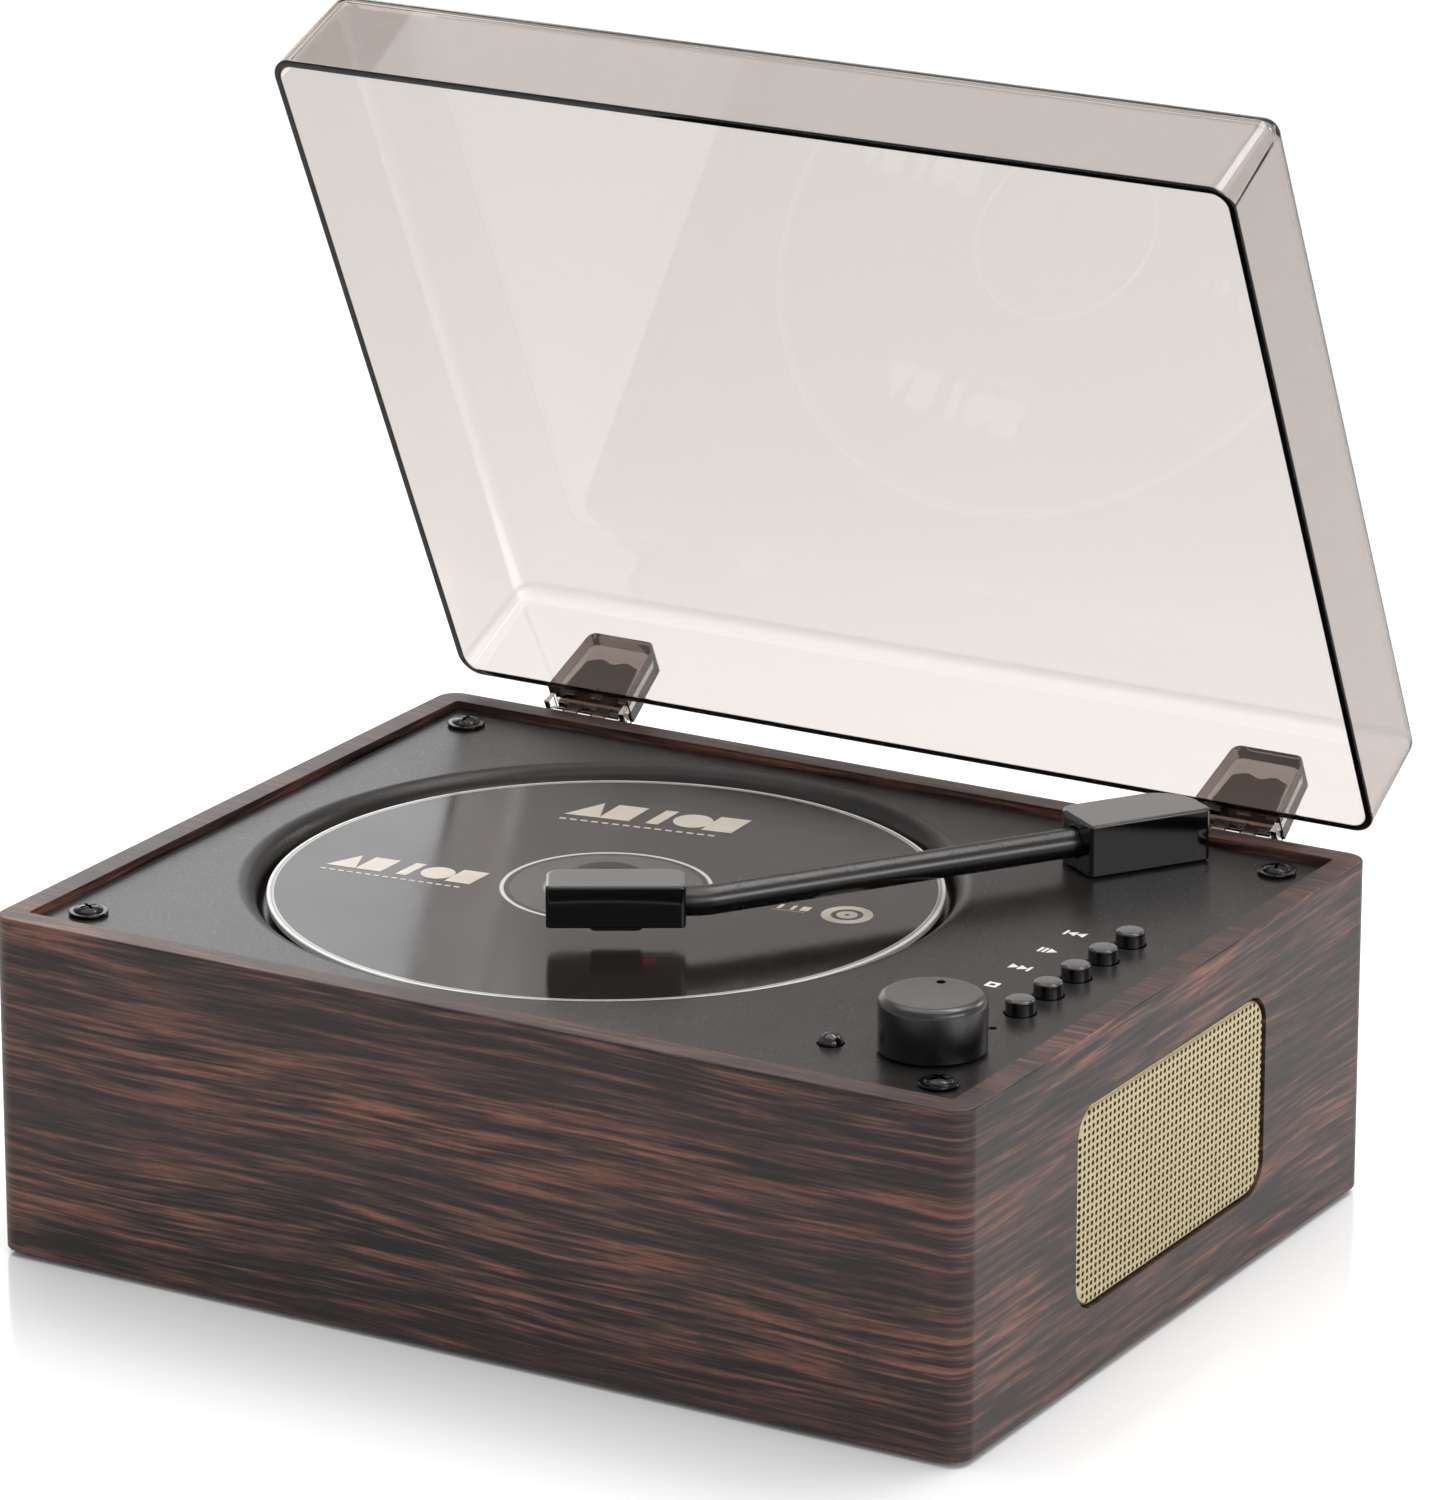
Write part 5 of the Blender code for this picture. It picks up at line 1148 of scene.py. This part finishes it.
def fingers(x, odd):
    """The stretches of the barrel that belong to one leaf."""
    step = HINGE_W / KNUCKLES
    low = x - HINGE_W / 2
    return [(low + i * step + FINGER_GAP, low + (i + 1) * step - FINGER_GAP)
            for i in range(KNUCKLES) if i % 2 == odd]


def barrel(last):
    """Points round the pin from its front, in steps of 15 degrees, up to the last angle."""
    turns = range(180, last, 15 if last > 180 else -15)
    return [(AXIS.y + RUN_R * cos(radians(a)), AXIS.z + RUN_R * sin(radians(a))) for a in turns]


for side, word in ((-1, "left"), (1, "right")):
    x = side * HINGE_X
    face = CASE_HIGH.y + 0.3 + SHEET / 2
    near = AXIS.y - RUN_R
    case_line = [(face, AXIS.z - 8.0), (face, AXIS.z - 3.4), (near, AXIS.z - 2.0)] + barrel(-121)
    leaf_low = span("cabinet_hinge_leaf_" + word)[0]
    plate = slab("case_leaf_" + word, (-HINGE_W / 2, leaf_low.z), (HINGE_W / 2, AXIS.z - 3.2), 1.0,
                 face - SHEET / 2, face + SHEET / 2, 0.0, 0.12,
                 Matrix.Translation((x, 0, 0)) @ BACKWARDS, 5)
    curls = [prism("finger", strip(case_line, SHEET), a, b, SIDEWAYS) for a, b in fingers(x, 0)]
    combine(plate, "UNION", *curls)
    dress(plate, chrome, "cabinet", ["cabinet_hinge_leaf_" + word])

    lid_line = [(near, AXIS.z + 8.0), (near, AXIS.z + 2.0)] + barrel(481)
    wave_top = AXIS.z + 12.75
    reach = HINGE_W / 2 - 0.6 - TAPER
    crest = [(reach * (1 - 2 * i / 24), wave_top - 0.45 * cos(4 * pi * i / 24)) for i in range(25)]
    outline = [(-HINGE_W / 2 + 0.6, AXIS.z + 2.2), (HINGE_W / 2 - 0.6, AXIS.z + 2.2)] + crest
    lid_leaf = prism("lid_leaf_" + word, outline, near - SHEET / 2, near + SHEET / 2,
                     Matrix.Translation((x, 0, 0)) @ BACKWARDS)
    curls = [prism("finger", strip(lid_line, SHEET), a, b, SIDEWAYS) for a, b in fingers(x, 1)]
    combine(lid_leaf, "UNION", *curls)
    lid_leaf.data.transform(opened_m)
    dress(lid_leaf, zinc, "lid", ["lid_hinge_leaf_" + word])


# %% [markdown]
# ## Back panel, feet and underside
# The back panel is a thin moulded plate held by four small screws; a rubber pad sits near each corner
# underneath, and wood screws hold the base board. All of them repeat, so the corner tree sets them.

# %% Make the panel
low, high = span("rear_panel")
at = (low + high) / 2
panel = slab("back_plate", (-high.x, low.z), (-low.x, high.z), 2.0, low.y, high.y, 0.0, 0.4, BACKWARDS)
JACK_R, TRAVEL = 2.9, 3.0


def window(node, radius, travel=0.0):
    """A cutter through the panel with room for a node and its travel."""
    node_low, node_high = span(node)
    return slab("window", (-node_high.x - travel - CLEAR, node_low.z - CLEAR),
                (-node_low.x + CLEAR, node_high.z + CLEAR), radius, low.y - 1, high.y + 1, matrix=BACKWARDS)


jack_hole = [(0, low.y - 1), (JACK_R + CLEAR, low.y - 1), (JACK_R + CLEAR, high.y + 1), (0, high.y + 1)]
jack_at = (-middle("audio_jack").x, middle("power_slider").z)
combine(panel, "DIFFERENCE", window("power_inlet", 1.6),
        lathe("jack_hole", jack_hole, 40, jack_at, BACKWARDS), window("power_slider", 0.4, TRAVEL))
dress(panel, panel_abs, "cabinet", ["rear_panel"])
small = cross_screw("small_screw", 1.7, 1.5, 0.0, 1.0, 0.7, -0.9)
panel_screws = grow("panel_screws", corners_tree, Shape=small, Spread_X=(high.x - low.x - 5) * MM,
                    Spread_Y=(high.z - low.z - 5) * MM, Shift=(0, 0, 0), Turn=1.5, Seed=9,
                    Finish=black_screw)
panel_screws.data.transform(Matrix.Translation(Vector((at.x, high.y, at.z)) * MM) @ BACKWARDS)
dress(panel_screws, black_screw, "cabinet")

# %% Make the feet and base screws
pads = ["foot_pad_%d" % i for i in range(1, 5)]
pad_low, pad_high = span(pads[0])
pad = middle(pads[0])
PAD_R = (pad_high.x - pad_low.x) / 2
pad_shape = lathe("pad", [(0, 0.15), (PAD_R * 0.55, 0.15), (PAD_R * 0.6, 0), (PAD_R - 0.25, 0),
                          (PAD_R, 0.25), (PAD_R, pad_high.z), (0, pad_high.z)], 48)
feet = grow("rubber_feet", corners_tree, Shape=pad_shape, Spread_X=2 * abs(pad.x) * MM,
            Spread_Y=2 * abs(pad.y) * MM, Shift=(0, 0, 0), Turn=0.0, Seed=1, Finish=rubber)
bpy.data.objects.remove(pad_shape, do_unlink=True)
dress(feet, rubber, "cabinet", pads)
base_high = span("base_board")[1]
base_screws = grow("base_screws", corners_tree, Shape=small, Spread_X=2 * (base_high.x - 7) * MM,
                   Spread_Y=2 * (base_high.y - 7) * MM, Shift=(0, 0, 0), Turn=1.5, Seed=3,
                   Finish=black_screw)
bpy.data.objects.remove(small, do_unlink=True)
base_screws.data.transform(Matrix.Translation((0, 0, CASE_LOW.z * MM)) @ UPSIDE_DOWN)
dress(base_screws, black_screw, "cabinet")


# %% [markdown]
# ## Parts that keep their own shape
# Inside the case, the model's own parts are right as they are, and only need their real finishes.

# %% Refinish the rest
refinish(fibreboard, "base_board", *["corner_post_%d" % i for i in range(1, 5)])
refinish(zinc, "speaker_frame_left", "speaker_frame_right", "volume_encoder", "power_inlet",
         "spindle_motor", "sled_motor")
refinish(cone_paper, "speaker_cone_left", "speaker_cone_right")
refinish(circuit, "main_board", "button_board")
refinish(panel_abs, "audio_jack", "power_slider")
refinish(works_abs, "mechanism_chassis", "pickup_sled")
refinish(rubber, "damper_1", "damper_2", "damper_3")
refinish(rod_steel, "guide_rod_left", "guide_rod_right", "lead_screw", "pivot_post")
refinish(chrome, "hinge_pin_left", "hinge_pin_right")
refinish(lens_glass, "pickup_lens")
print("refinished the parts inside")


# %% [markdown]
# ## Floor and light
# The player stands on a white sweep in soft light. A bright even world does most of the work, since
# the gloss parts mirror it; a large panel overhead lights the tops. Smaller panels are mirrored in
# single places: the right box in the arm's tube, the back box in the outer top edge of the case, the
# far left box in the deck and the block, and the left card in the left of the deck and the disc.

# %% Light the scene
floor_mesh = bmesh.new()
bmesh.ops.create_circle(floor_mesh, cap_ends=True, segments=96, radius=8.0)
floor_data = bpy.data.meshes.new("floor")
floor_mesh.to_mesh(floor_data)
floor_mesh.free()
floor = bpy.data.objects.new("floor", floor_data)
bpy.context.scene.collection.objects.link(floor)
white_floor, tree, shader = new_finish("white_acrylic_sweep", "#f6f6f6", IOR=1.45, Roughness=0.12)
tree.links.new(spread(tree, grain(tree, (60, 60, 60)), 0.11, 0.14), shader.inputs["Roughness"])
floor_data.materials.append(white_floor)


def panel_light(name, place, look_at, size, power):
    """A large soft light that faces a point."""
    data = bpy.data.lights.new(name, "AREA")
    data.shape = "RECTANGLE"
    data.size, data.size_y = size
    data.energy = power
    light = bpy.data.objects.new(name, data)
    light.location = place
    light.rotation_euler = (Vector(look_at) - Vector(place)).to_track_quat("-Z", "Y").to_euler()
    bpy.context.scene.collection.objects.link(light)
    return light


WORLD = 0.6
world = bpy.data.worlds.new("studio")
bpy.context.scene.world = world
world.use_nodes = True
world.node_tree.nodes["Background"].inputs["Color"].default_value = (1.0, 1.0, 1.0, 1.0)
world.node_tree.nodes["Background"].inputs["Strength"].default_value = WORLD
panel_light("overhead", (0.0, 0.6, 2.2), (0, 0.6, 0.0), (3.0, 3.0), 46.0)
panel_light("strip", (0.26, 0.5, 1.3), (0, 0, 0.05), (0.9, 0.25), 4.5)
panel_light("front_right", (1.5, -1.1, 0.8), (0, 0, 0.05), (1.0, 1.0), 4.0)
panel_light("right_box", (1.88, -0.28, 0.66), (0, 0, 0.06), (1.0, 0.6), 9.0)
panel_light("back_box", (0.7, 1.75, 1.05), (0, 0, 0.06), (0.7, 0.4), 4.0)
panel_light("far_left", (-1.06, 1.80, 0.78), (0, 0, 0.06), (1.5, 0.5), 1.7)
card = panel_light("left_card", (-0.487, 0.407, 0.247), (-0.075, -0.01, 0.061), (0.34, 0.34), 0.085)
card.data.spread = radians(80)
card.visible_camera = False
bpy.context.scene.view_settings.view_transform = "Standard"
bpy.context.scene.view_settings.look = "None"
